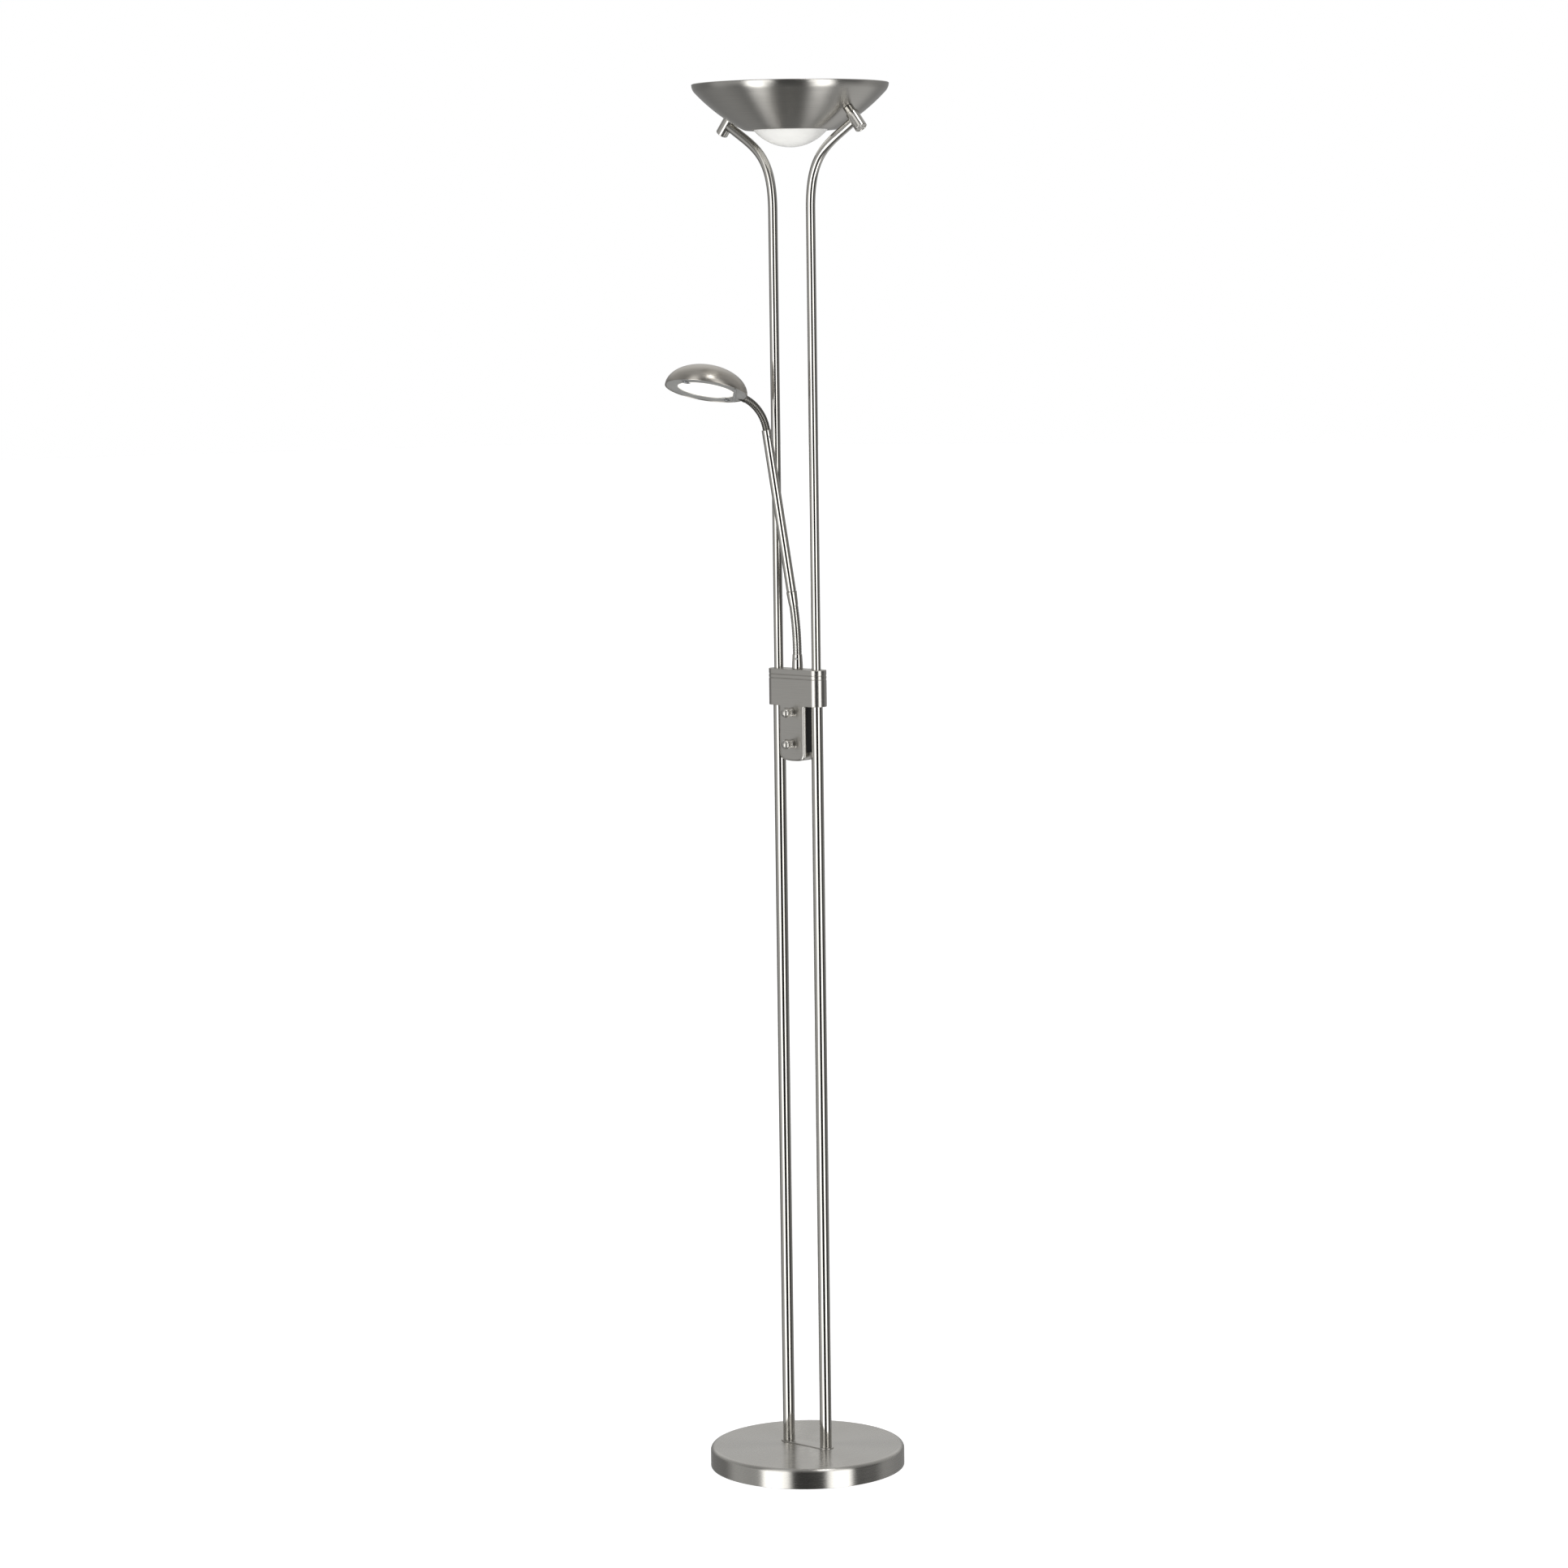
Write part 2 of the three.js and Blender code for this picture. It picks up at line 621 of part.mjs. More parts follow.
function armTube() {
  const { radius, bore } = TUBE;
  const start = FERRULE.length + GAP;
  const end = TUBE_LENGTH - 0.3;
  const plug = end - 18;
  const inner = HOSE_TOP.bore;
  const profile = [
    v2(bore, start), v2(radius, start), v2(radius, end), v2(bore, end), v2(bore, end - 0.7),
    ...ballEnd(HOSE_TOP, TUBE_LENGTH + HOSE_TOP.gap - 1), v2(inner, plug), v2(bore, plug),
  ];
  const tube = aimed(turned(profile, 16), FERRULE_START, LEAN);
  const at = MOUTH.clone().addScaledVector(LEAN, -TUBE_SCREW_AT);
  return cut(tube, aimed(rod(1.6, 2.6, 10, 8), at, TUBE_SCREW_OUT));
}

// Square to the tube, on the side that faces the right pole.
const TUBE_SCREW_TURN = deg(9.4);
const TUBE_SCREW_OUT = v3(
  Math.sin(TUBE_SCREW_TURN) * Math.cos(ARM_LEAN),
  Math.cos(TUBE_SCREW_TURN),
  -Math.sin(TUBE_SCREW_TURN) * Math.sin(ARM_LEAN),
);

function tubeScrew() {
  const at = MOUTH.clone().addScaledVector(LEAN, -TUBE_SCREW_AT);
  return aimed(rod(1.3, 3, TUBE.radius + 0.5, 8), at, TUBE_SCREW_OUT);
}

// ---------------------------------------------------------------- reading head
// The head is made about its own axis: +Z out of the dome, +X away from the arm.
function neckAxis() {
  const outer = v3(-NECK.reach, 0, NECK.drop);
  const wall = v3(-NECK.wallReach, 0, NECK.wallHeight);
  return { start: outer, direction: wall.sub(outer).normalize() };
}

function neckCutter() {
  const { start, direction } = neckAxis();
  return aimed(rod(NECK.radius + GAP, -5, 24), start, direction);
}

// Half an ellipse, from the rim to the top.
function domeArc(inset) {
  return arc(0, 0, 1, 0, Math.PI / 2, 6).map(
    (p) => v2(p.x * (DOME.rim - inset), p.y * (DOME.height - inset)));
}

function headShade() {
  const outer = domeArc(0);
  const inner = domeArc(DOME.sheet).reverse();
  return cut(turned([...inner, ...outer], MEDIUM), neckCutter());
}

function headNeck() {
  const { gap } = HOSE_TOP;
  const { start, direction } = neckAxis();
  const profile = [
    ...cupEnd(HOSE_TOP), v2(NECK.radius, gap), v2(NECK.radius, 16), v2(HOSE_TOP.bore, 16)];
  return aimed(turned(profile), start, direction);
}

function headBezel() {
  return cut(ring(BEZEL.inner, BEZEL.outer, BEZEL.bottom, BEZEL.top, MEDIUM), neckCutter());
}

function headGlass() {
  return rod(LENS.radius, BEZEL.top + 0.05, LENS.top, MEDIUM);
}

function headReflector() {
  const foot = LENS.top + GAP;
  const profile = [
    v2(41, foot), v2(42, foot), v2(24, foot + 14), v2(13, foot + 16), v2(13, foot + 15),
    v2(23.4, foot + 13.2)];
  const reflector = turned(profile, MEDIUM);
  return cut(reflector, neckCutter());
}

function headLampholder() {
  return rod(8, 21, 30);
}

function headLamp() {
  const profile = [v2(0, 7.5), ...arc(0, 11.5, 5, -Math.PI / 3, 0, 3), v2(5, 19), v2(0, 20.6)];
  return turned(profile);
}

// A strip across the ring, near the arm; it keeps the glass in place.
const BAR_X = -36.5;
const BAR_TURN = deg(-25);
const CLIP_TURNS = { front: deg(24), rear: deg(204) };

function headBar() {
  const half = Math.sqrt(BEZEL.outer ** 2 - BAR_X ** 2) - 2;
  const strip = block(BAR_X - 1.7, BAR_X + 1.7, -half, half, -1.2, BEZEL.bottom - 0.05);
  return strip.rotateZ(BAR_TURN);
}

function headClip(angle) {
  const clip = block(BEZEL.inner - 2.5, BEZEL.inner + 8, -3, 3, -0.9, BEZEL.bottom - 0.05);
  const screw = rod(2.2, -2, -0.5).translate(BEZEL.inner + 4.5, 0, 0);
  return join(clip, screw).rotateZ(angle);
}

// ---------------------------------------------------------------- uplighter lamp
function lampBridge() {
  const foot = bowlPoint(74);
  const low = foot.y + BOWL.sheet * 1.6;
  const deck = LAMP.z - 11;
  const shape = new THREE.Shape();
  const line = [
    v2(-76, low + 2.4), v2(-68, low - 2.6), v2(-62, deck), v2(62, deck), v2(68, low - 2.6),
    v2(76, low + 2.4)];
  const top = line.map((p) => v2(p.x, p.y + SHEET)).reverse();
  [...line, ...top].forEach((p, i) => (i ? shape.lineTo(p.x, p.y) : shape.moveTo(p.x, p.y)));
  shape.closePath();
  return slab(shape, -10, 10);
}

function lampholder(side) {
  const inner = LAMP.half - 4;
  const body = block(inner, inner + 13, -7, 7, LAMP.z - 9.5, LAMP.z + 8);
  const seat = aimed(rod(4, 0, 4 + GAP * 2), v3(inner - 0.3, 0, LAMP.z), v3(1, 0, 0));
  const holder = cut(body, seat);
  return side > 0 ? holder : holder.rotateZ(Math.PI);
}

function linearLamp() {
  const { radius, half, z } = LAMP;
  const profile = [
    v2(0, -half + GAP), v2(3.4, -half + GAP), v2(3.4, -half + 9), v2(radius, -half + 11),
    v2(radius, half - 11), v2(3.4, half - 9), v2(3.4, half - GAP), v2(0, half - GAP)];
  return aimed(turned(profile), v3(0, 0, z), v3(1, 0, 0));
}

// ---------------------------------------------------------------- lead in the left pole
function poleLead() {
  const radius = 2.2;
  return rod(radius, PAD.top + 3, LOWER.top + 4, 8).translate(-POLE_X, 0, 0);
}

// ---------------------------------------------------------------- assembly
put('base_pad', rod(PAD.radius, 0, PAD.top, MEDIUM), 'rubber');
put('base_weight', baseWeight(), 'iron');
put('base_cover', coverWithHoles(), 'nickel');
put('cord_inlet_grommet', inletGrommet(), 'rubber');
put('foot_plate', footPlate(), 'steel');
put('collar_front_shell', frontShell(), 'nickel');
put('collar_rear_shell', rearShell(), 'nickel');
put('collar_clamp_plate', clampPlate(), 'steel');
put('collar_screw', collarScrew(), 'steel');
put('dimmer_box', dimmerBox(), 'plastic');
put('pole_lead', poleLead(), 'rubber');
put('bowl_shell', bowlShell(), 'nickel');
put('glass_dish', glassDish(), 'glass');
put('lamp_bridge', lampBridge(), 'steel');
put('linear_lamp', linearLamp(), 'glass');

for (const [name, side] of Object.entries(SIDES)) {
  put(`pole_bolt_${name}`, poleBolt(side), 'steel');
  put(`lower_pole_${name}`, lowerPole(side), 'nickel');
  put(`upper_pole_${name}`, upperPole(side), 'nickel');
  put(`bowl_spacer_${name}`, bowlSpacer(side), 'nickel');
  put(`bowl_bolt_${name}`, bowlBolt(side), 'steel');
  put(`bowl_knob_${name}`, bowlKnob(side), 'nickel');
  put(`lampholder_${name}`, lampholder(side), 'ceramic');
}

for (const [name, z] of Object.entries(DIMMER_Z)) {
  put(`dimmer_pot_${name}`, dimmerPot(z), 'plastic');
  put(`dimmer_shaft_${name}`, dimmerShaft(z), 'steel');
  put(`dimmer_knob_${name}`, dimmerKnob(z), 'nickel');
}

put('arm_socket', armSocket(), 'nickel');
put('socket_screw', socketScrew(), 'steel');
put('arm_ferrule', armFerrule(), 'nickel', arm);
put('arm_tube', armTube(), 'nickel', arm);
put('arm_tube_screw', tubeScrew(), 'steel', arm);

head.updateMatrix();
const neckStart = neckAxis().start.applyMatrix4(head.matrix);
const socketPivot = v3(0, 0, SOCKET.top + HOSE_LOW.gap);
const mouthPivot = MOUTH.clone().addScaledVector(LEAN, HOSE_TOP.gap - 1);
putLinks('lower_flex', HOSE_LOW, hosePivots(socketPivot, FERRULE_START, 0, HOSE_LOW.count));
putLinks('upper_flex', HOSE_TOP, hosePivots(mouthPivot, neckStart, ARM_LEAN, HOSE_TOP.count));

put('head_neck', headNeck(), 'nickel', head);
put('head_shade', headShade(), 'nickel', head);
put('head_bezel', headBezel(), 'grey', head);
put('head_bar', headBar(), 'grey', head);
put('head_glass', headGlass(), 'glass', head);
put('head_reflector', headReflector(), 'reflector', head);
put('head_lampholder', headLampholder(), 'ceramic', head);
put('head_lamp', headLamp(), 'glass', head);
for (const [name, turn] of Object.entries(CLIP_TURNS)) {
  put(`head_clip_${name}`, headClip(turn), 'steel', head);
}

export default lamp;
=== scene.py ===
import json
import math

import bmesh
import bpy
from mathutils import Matrix, Vector

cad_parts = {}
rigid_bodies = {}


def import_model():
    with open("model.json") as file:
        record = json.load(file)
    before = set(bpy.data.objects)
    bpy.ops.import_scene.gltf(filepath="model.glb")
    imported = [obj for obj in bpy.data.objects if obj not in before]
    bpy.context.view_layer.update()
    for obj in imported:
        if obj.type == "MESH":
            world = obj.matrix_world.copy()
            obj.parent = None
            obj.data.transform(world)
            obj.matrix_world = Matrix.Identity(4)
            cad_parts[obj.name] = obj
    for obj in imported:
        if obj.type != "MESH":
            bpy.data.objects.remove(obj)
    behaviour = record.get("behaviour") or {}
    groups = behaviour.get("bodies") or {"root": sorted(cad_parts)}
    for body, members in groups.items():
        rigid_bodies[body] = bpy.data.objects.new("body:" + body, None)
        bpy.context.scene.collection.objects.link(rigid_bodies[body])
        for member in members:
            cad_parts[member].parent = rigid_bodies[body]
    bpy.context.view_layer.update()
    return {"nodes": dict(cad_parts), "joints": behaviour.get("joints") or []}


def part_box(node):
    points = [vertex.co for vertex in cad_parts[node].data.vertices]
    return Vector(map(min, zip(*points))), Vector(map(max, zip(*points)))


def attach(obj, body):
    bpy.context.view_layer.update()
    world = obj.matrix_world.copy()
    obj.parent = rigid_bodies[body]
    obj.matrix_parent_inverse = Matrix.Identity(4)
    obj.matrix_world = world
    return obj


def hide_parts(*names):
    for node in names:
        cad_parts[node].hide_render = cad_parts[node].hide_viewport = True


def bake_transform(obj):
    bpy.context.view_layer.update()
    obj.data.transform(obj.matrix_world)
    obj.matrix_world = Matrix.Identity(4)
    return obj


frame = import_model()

# Torchiere floor lamp. The CAD frame is in metres. The shapes below are written in
# millimetres and scaled once, where their meshes are made.
MM = 0.001
UP = Vector((0, 0, 1))
ACROSS = Vector((1, 0, 0))
FRONT = Vector((0, -1, 0))
BACK = Vector((0, 1, 0))
SIDES = {"left": -1, "right": 1}
STAND = "stand"


# ------------------------ camera and studio
CAMERA = {
    "bearing": 41.0,        # degrees round from the front of the lamp, towards +X
    "distance": 5.650,
    "height": 1.5351,
    "aim_height": 0.9025,
    "aim_side": -0.01944,
    "roll": -0.763,
    "lens": 100.7,
}


def make_camera():
    bearing = math.radians(CAMERA["bearing"])
    aside = Vector((math.cos(bearing), math.sin(bearing), 0))
    outward = Vector((math.sin(bearing), -math.cos(bearing), 0))
    place = outward * CAMERA["distance"] + UP * CAMERA["height"]
    aim = aside * CAMERA["aim_side"] + UP * CAMERA["aim_height"]
    forward = (aim - place).normalized()
    right = forward.cross(UP).normalized()
    above = right.cross(forward)
    roll = math.radians(CAMERA["roll"])
    rolled_right = math.cos(roll) * right + math.sin(roll) * above
    rolled_above = math.cos(roll) * above - math.sin(roll) * right
    data = bpy.data.cameras.new("camera")
    data.lens = CAMERA["lens"]
    data.sensor_width = 36
    camera = bpy.data.objects.new("camera", data)
    bpy.context.scene.collection.objects.link(camera)
    turn = Matrix((rolled_right, rolled_above, -forward)).transposed().to_4x4()
    camera.matrix_world = Matrix.Translation(place) @ turn
    bpy.context.scene.camera = camera


# Brightness of the studio round the lamp, by how far round from the camera it is, in
# degrees, with the camera's right positive. Two tall soft boxes flank the camera.
ROUND_UNDER = [(-180, 0.30), (-100, 0.28), (-78, 0.10), (-62, 0.05), (-57, 4.6), (-42, 4.0),
               (-30, 0.12), (30, 0.10), (38, 3.2), (56, 3.8), (63, 0.2), (82, 0.5),
               (150, 0.6), (180, 0.30)]
ROUND_LOW = [(-180, 0.34), (-150, 0.22), (-115, 0.20), (-95, 0.50), (-76, 0.50), (-60, 0.55),
             (-49, 2.3), (-25, 2.3), (-17, 0.02), (19, 0.02), (27, 2.3), (48, 2.3),
             (57, 0.06), (84, 0.07), (104, 0.32), (150, 0.26), (180, 0.34)]
ROUND_HIGH = [(-180, 0.82), (-120, 0.42), (-60, 0.20), (-44, 1.1), (-30, 1.1), (-18, 0.16),
              (20, 0.16), (32, 1.1), (44, 1.1), (60, 0.22), (120, 0.44), (180, 0.82)]
FLOOR_GREY = 0.17                   # brightness of the floor under the lamp
OVERHEAD_GREY = 0.42                # brightness of the panel above the lamp
# Heights on the unit sphere between which each band gives way to the next one up.
FLOOR_TO_UNDER = (-0.97, -0.74)
UNDER_TO_LOW = (-0.58, -0.34)
LOW_TO_HIGH = (0.10, 0.42)
HIGH_TO_OVERHEAD = (0.72, 0.93)
# One small light high on the right, by degrees round from the front of the lamp, and up.
SPOT = {"bearing": 72.0, "rise": 62.0, "size": 6.0, "power": 7.0}


class Graph:
    """Short ways to add nodes to a world or a material."""

    def __init__(self, owner):
        owner.use_nodes = True
        self.nodes, self.links = owner.node_tree.nodes, owner.node_tree.links

    def feed(self, socket, value):
        if isinstance(value, bpy.types.NodeSocket):
            self.links.new(value, socket)
        else:
            socket.default_value = value

    def fill(self, node, **inputs):
        """Each input has its socket's name, with underscores for spaces."""
        for name, value in inputs.items():
            self.feed(node.inputs[name.replace("_", " ")], value)
        return node

    def add(self, kind, **inputs):
        return self.fill(self.nodes.new("ShaderNode" + kind), **inputs)

    def calc(self, operation, *values):
        node = self.add("Math")
        node.operation = operation
        for socket, value in zip(node.inputs, values):
            self.feed(socket, value)
        return node.outputs[0]

    def two_products(self, a, b, c, d):
        """a times b, plus c times d."""
        return self.calc("ADD", self.calc("MULTIPLY", a, b), self.calc("MULTIPLY", c, d))

    def ranged(self, value, low, high, start=0.3, stop=0.7, kind="LINEAR"):
        node = self.add("MapRange", Value=value, From_Min=start, From_Max=stop, To_Min=low,
                        To_Max=high)
        node.interpolation_type = kind
        return node.outputs[0]

    def mixed(self, factor, first, second, blend="MIX"):
        node = self.nodes.new("ShaderNodeMix")
        node.data_type = "RGBA"
        node.blend_type = blend
        return self.fill(node, Factor=factor, A=first, B=second).outputs["Result"]


def grey(level):
    return (level, level, level, 1)


def band_round(studio, share, stops):
    """Light by direction in plan, from (degrees, grey) stops that run from -180 to 180."""
    node = studio.add("ValToRGB", Fac=share)
    node.color_ramp.interpolation = "EASE"
    band = node.color_ramp.elements
    band.remove(band[1])
    band[0].position = 0
    for degrees, _ in stops[1:]:
        band.new((degrees + 180) / 360)
    for element, (_, level) in zip(band, stops):
        element.color = grey(level)
    return node.outputs[0]


def make_world():
    world = bpy.data.worlds.new("studio")
    bpy.context.scene.world = world
    studio = Graph(world)
    studio.nodes.clear()
    way = studio.add("TexCoord").outputs["Generated"]
    east, north, rise = studio.add("SeparateXYZ", Vector=way).outputs
    bearing = studio.calc("ARCTAN2", east, studio.calc("MULTIPLY", north, -1.0))
    aside = studio.calc("SUBTRACT", bearing, math.radians(CAMERA["bearing"]))
    wrapped = studio.calc("WRAP", aside, math.pi, -math.pi)
    share = studio.calc("MULTIPLY_ADD", wrapped, 0.5 / math.pi, 0.5)

    light = grey(FLOOR_GREY)
    for (start, stop), upper in ((FLOOR_TO_UNDER, band_round(studio, share, ROUND_UNDER)),
                                 (UNDER_TO_LOW, band_round(studio, share, ROUND_LOW)),
                                 (LOW_TO_HIGH, band_round(studio, share, ROUND_HIGH)),
                                 (HIGH_TO_OVERHEAD, grey(OVERHEAD_GREY))):
        light = studio.mixed(studio.ranged(rise, 0, 1, start, stop, "SMOOTHSTEP"), light, upper)

    spot_bearing, spot_rise, spot_size = [
        math.radians(SPOT[key]) for key in ("bearing", "rise", "size")]
    dot = studio.nodes.new("ShaderNodeVectorMath")
    dot.operation = "DOT_PRODUCT"
    studio.feed(dot.inputs[0], way)
    studio.feed(dot.inputs[1], (math.sin(spot_bearing) * math.cos(spot_rise),
                                -math.cos(spot_bearing) * math.cos(spot_rise),
                                math.sin(spot_rise)))
    glow = studio.ranged(dot.outputs["Value"], 0, SPOT["power"], math.cos(spot_size * 1.6),
                         math.cos(spot_size * 0.4), "SMOOTHSTEP")
    lit = studio.add("Background", Color=studio.mixed(1, light, glow, "ADD"))
    paper = studio.add("Background", Color=grey(1))
    shown = studio.add("MixShader", Fac=studio.add("LightPath").outputs["Is Camera Ray"])
    studio.feed(shown.inputs[1], lit.outputs[0])
    studio.feed(shown.inputs[2], paper.outputs[0])
    studio.add("OutputWorld", Surface=shown.outputs[0])


FLOOR_RADIUS = 40.0
FLOOR_GLOW = 0.84


def make_floor():
    corners = arc(0, 0, FLOOR_RADIUS, 0, 360, 8)[:-1]
    mesh = bpy.data.meshes.new("floor")
    mesh.from_pydata([(x, y, 0) for x, y in corners], [], [tuple(range(8))])
    floor = bpy.data.objects.new("floor", mesh)
    bpy.context.scene.collection.objects.link(floor)
    pale = Surface("pale_floor", (0.5, 0.5, 0.5), 0.9, Specular_IOR_Level=0.1,
                   Emission_Color=grey(1), Emission_Strength=FLOOR_GLOW)
    mesh.materials.append(pale.material)
    floor.visible_glossy = False


def make_light(name, bearing, distance, height, size, power):
    """A soft box that faces the middle of the lamp."""
    around = math.radians(bearing)
    place = Vector((math.sin(around) * distance, -math.cos(around) * distance, height))
    data = bpy.data.lights.new(name, "AREA")
    data.shape = "RECTANGLE"
    data.size, data.size_y = size
    data.energy = power
    light = bpy.data.objects.new(name, data)
    bpy.context.scene.collection.objects.link(light)
    light.location = place
    facing = Vector((0, 0, 1.0)) - place
    light.rotation_euler = facing.to_track_quat("-Z", "Y").to_euler()
    light.visible_glossy = False
    light.visible_camera = False


def make_studio():
    bpy.context.scene.view_settings.view_transform = "Standard"
    bpy.context.scene.view_settings.look = "None"
    make_world()
    make_floor()
    for name, bearing in (("soft_box_left", 3), ("soft_box_right", 79)):
        make_light(name, bearing, distance=3.0, height=1.4, size=(0.8, 2.4), power=22)
    make_light("soft_box_rear", 221, distance=3.5, height=2.2, size=(2.0, 1.6), power=14)


# ------------------------ materials
class Surface(Graph):
    """A Principled material and its grain."""

    def __init__(self, name, colour, roughness, **inputs):
        self.material = bpy.data.materials.new(name)
        super().__init__(self.material)
        self.shader = self.nodes["Principled BSDF"]
        self.colour = colour
        self.fill(self.shader, Base_Color=(*colour, 1), Roughness=roughness, **inputs)

    def place(self):
        return self.add("TexCoord").outputs["Object"]

    def axes(self):
        return self.add("SeparateXYZ", Vector=self.place()).outputs

    def radius(self, x, y):
        return self.calc("SQRT", self.two_products(x, x, y, y))

    def stretched(self, scale, place):
        return self.add("Mapping", Scale=scale, Vector=place).outputs[0]

    def noise(self, vector, scale=1.0, detail=3.0, rough=0.55):
        node = self.add("TexNoise", Scale=scale, Detail=detail, Roughness=rough, Vector=vector)
        return node.outputs[0]

    def tint(self, value, darker, lighter):
        """Base colour that runs from a darker to a lighter version of the material's."""
        dark = [c * darker for c in self.colour]
        light = [min(1, c * lighter) for c in self.colour]
        self.fill(self.shader, Base_Color=self.mixed(value, (*dark, 1), (*light, 1)))

    def rough(self, value):
        self.fill(self.shader, Roughness=value)

    def bump(self, height, distance, strength=1.0):
        node = self.add("Bump", Distance=distance, Strength=strength, Height=height)
        self.fill(self.shader, Normal=node.outputs[0])

    def anisotropic(self, amount, rotation):
        """Highlights drawn out across the brushing, about the piece's own Z."""
        tangent = self.add("Tangent")
        tangent.direction_type = "RADIAL"
        tangent.axis = "Z"
        self.fill(self.shader, Anisotropic=amount, Anisotropic_Rotation=rotation,
                  Tangent=tangent.outputs[0])


NICKEL = (0.585, 0.57, 0.535)


def spun_nickel(name, roughness, anisotropy, contrast, colour=NICKEL):
    """Satin nickel brushed in circles on a lathe."""
    surface = Surface(name, colour, roughness, Metallic=1.0)
    x, y, z = surface.axes()
    angle = surface.calc("ARCTAN2", y, x)
    around = surface.add("CombineXYZ", X=surface.radius(x, y), Y=z, Z=angle).outputs[0]
    fine = surface.noise(surface.stretched((1300, 1300, 2.4), around), 1, 4, 0.65)
    return brushed(surface, fine, roughness, anisotropy, contrast)


def straight_nickel(name, roughness, grain, anisotropy, contrast):
    """Satin nickel brushed along the axis that the grain is coarsest in."""
    surface = Surface(name, NICKEL, roughness, Metallic=1.0)
    fine = surface.noise(surface.stretched(grain, surface.place()), 1, 3, 0.6)
    return brushed(surface, fine, roughness, anisotropy, contrast)


def brushed(surface, fine, roughness, anisotropy, contrast):
    cloud = surface.noise(surface.place(), 18, 2)
    mixed = surface.two_products(fine, 0.6, cloud, 0.4)
    surface.tint(surface.ranged(mixed, 0, 1), 1 - 0.08 * contrast, 1 + 0.07 * contrast)
    surface.rough(surface.ranged(mixed, roughness * 0.88, roughness * 1.15))
    surface.bump(fine, 0.00001, 0.25 * contrast)
    if anisotropy:
        surface.anisotropic(anisotropy, 0.25)
    return surface.material


def steel(name, colour, roughness, spangle=60):
    """Plated steel with a faint crystal pattern and a fine grain."""
    surface = Surface(name, colour, roughness, Metallic=1.0)
    cell = surface.add("TexVoronoi", Scale=spangle, Vector=surface.place())
    grain = surface.noise(surface.place(), 400, 3)
    mixed = surface.two_products(cell.outputs["Distance"], 0.5, grain, 0.6)
    surface.tint(surface.ranged(mixed, 0, 1, 0.2, 0.8), 0.8, 1.12)
    surface.rough(surface.ranged(grain, roughness * 0.8, roughness * 1.3))
    surface.bump(grain, 0.00002, 0.3)
    return surface.material


def moulded(name, colour, roughness, grain=1400, depth=0.00004, metallic=0.0):
    """Moulded plastic, rubber or cast iron: a fine even grain with cloudy wear."""
    surface = Surface(name, colour, roughness, Metallic=metallic)
    fine = surface.noise(surface.place(), grain, 3)
    cloud = surface.noise(surface.place(), 35, 2)
    surface.tint(surface.ranged(cloud, 0, 1), 0.8, 1.25)
    surface.rough(surface.ranged(cloud, roughness * 0.88, min(1.0, roughness * 1.12)))
    surface.bump(fine, depth, 0.5)
    return surface.material


def painted_glow_glass(name, colour, centre, edge, radius):
    """Etched glass with a painted glow: its emission stands in for the light of the lamp behind
    it, and the painted glow falls off towards the edge.
    """
    surface = Surface(name, colour, 0.28, Coat_Weight=0.5, Coat_Roughness=0.1)
    etch = surface.noise(surface.place(), 1800, 2)
    cloud = surface.noise(surface.place(), 25, 2)
    surface.tint(surface.ranged(cloud, 0, 1), 0.97, 1.02)
    surface.bump(etch, 0.00002, 0.4)
    x, y, _ = surface.axes()
    # Painted glow: emission that is brightest in the middle and fades towards the edge.
    glow = surface.ranged(surface.radius(x, y), centre, edge, 0.0, radius * MM)
    surface.fill(surface.shader, Emission_Strength=glow, Emission_Color=(1.0, 0.985, 0.95, 1))
    return surface.material


def ceramic():
    surface = Surface("steatite", (0.80, 0.77, 0.70), 0.5)
    speck = surface.noise(surface.place(), 900, 3)
    surface.tint(surface.ranged(speck, 0, 1), 0.92, 1.05)
    surface.bump(speck, 0.00005, 0.4)
    return surface.material


def painted_ring():
    """Grey satin paint of the ring under the reading head."""
    surface = Surface("grey_paint", (0.36, 0.36, 0.345), 0.34, Metallic=0.55)
    peel = surface.noise(surface.place(), 700, 2)
    cloud = surface.noise(surface.place(), 40, 2)
    surface.tint(surface.ranged(cloud, 0, 1), 0.92, 1.08)
    surface.bump(peel, 0.00003, 0.4)
    return surface.material


def quartz():
    surface = Surface("quartz", (0.93, 0.93, 0.91), 0.06, Transmission_Weight=0.85)
    wave = surface.noise(surface.stretched((60, 400, 400), surface.place()), 1, 2)
    surface.rough(surface.ranged(wave, 0.04, 0.12))
    surface.bump(wave, 0.00002, 0.3)
    return surface.material


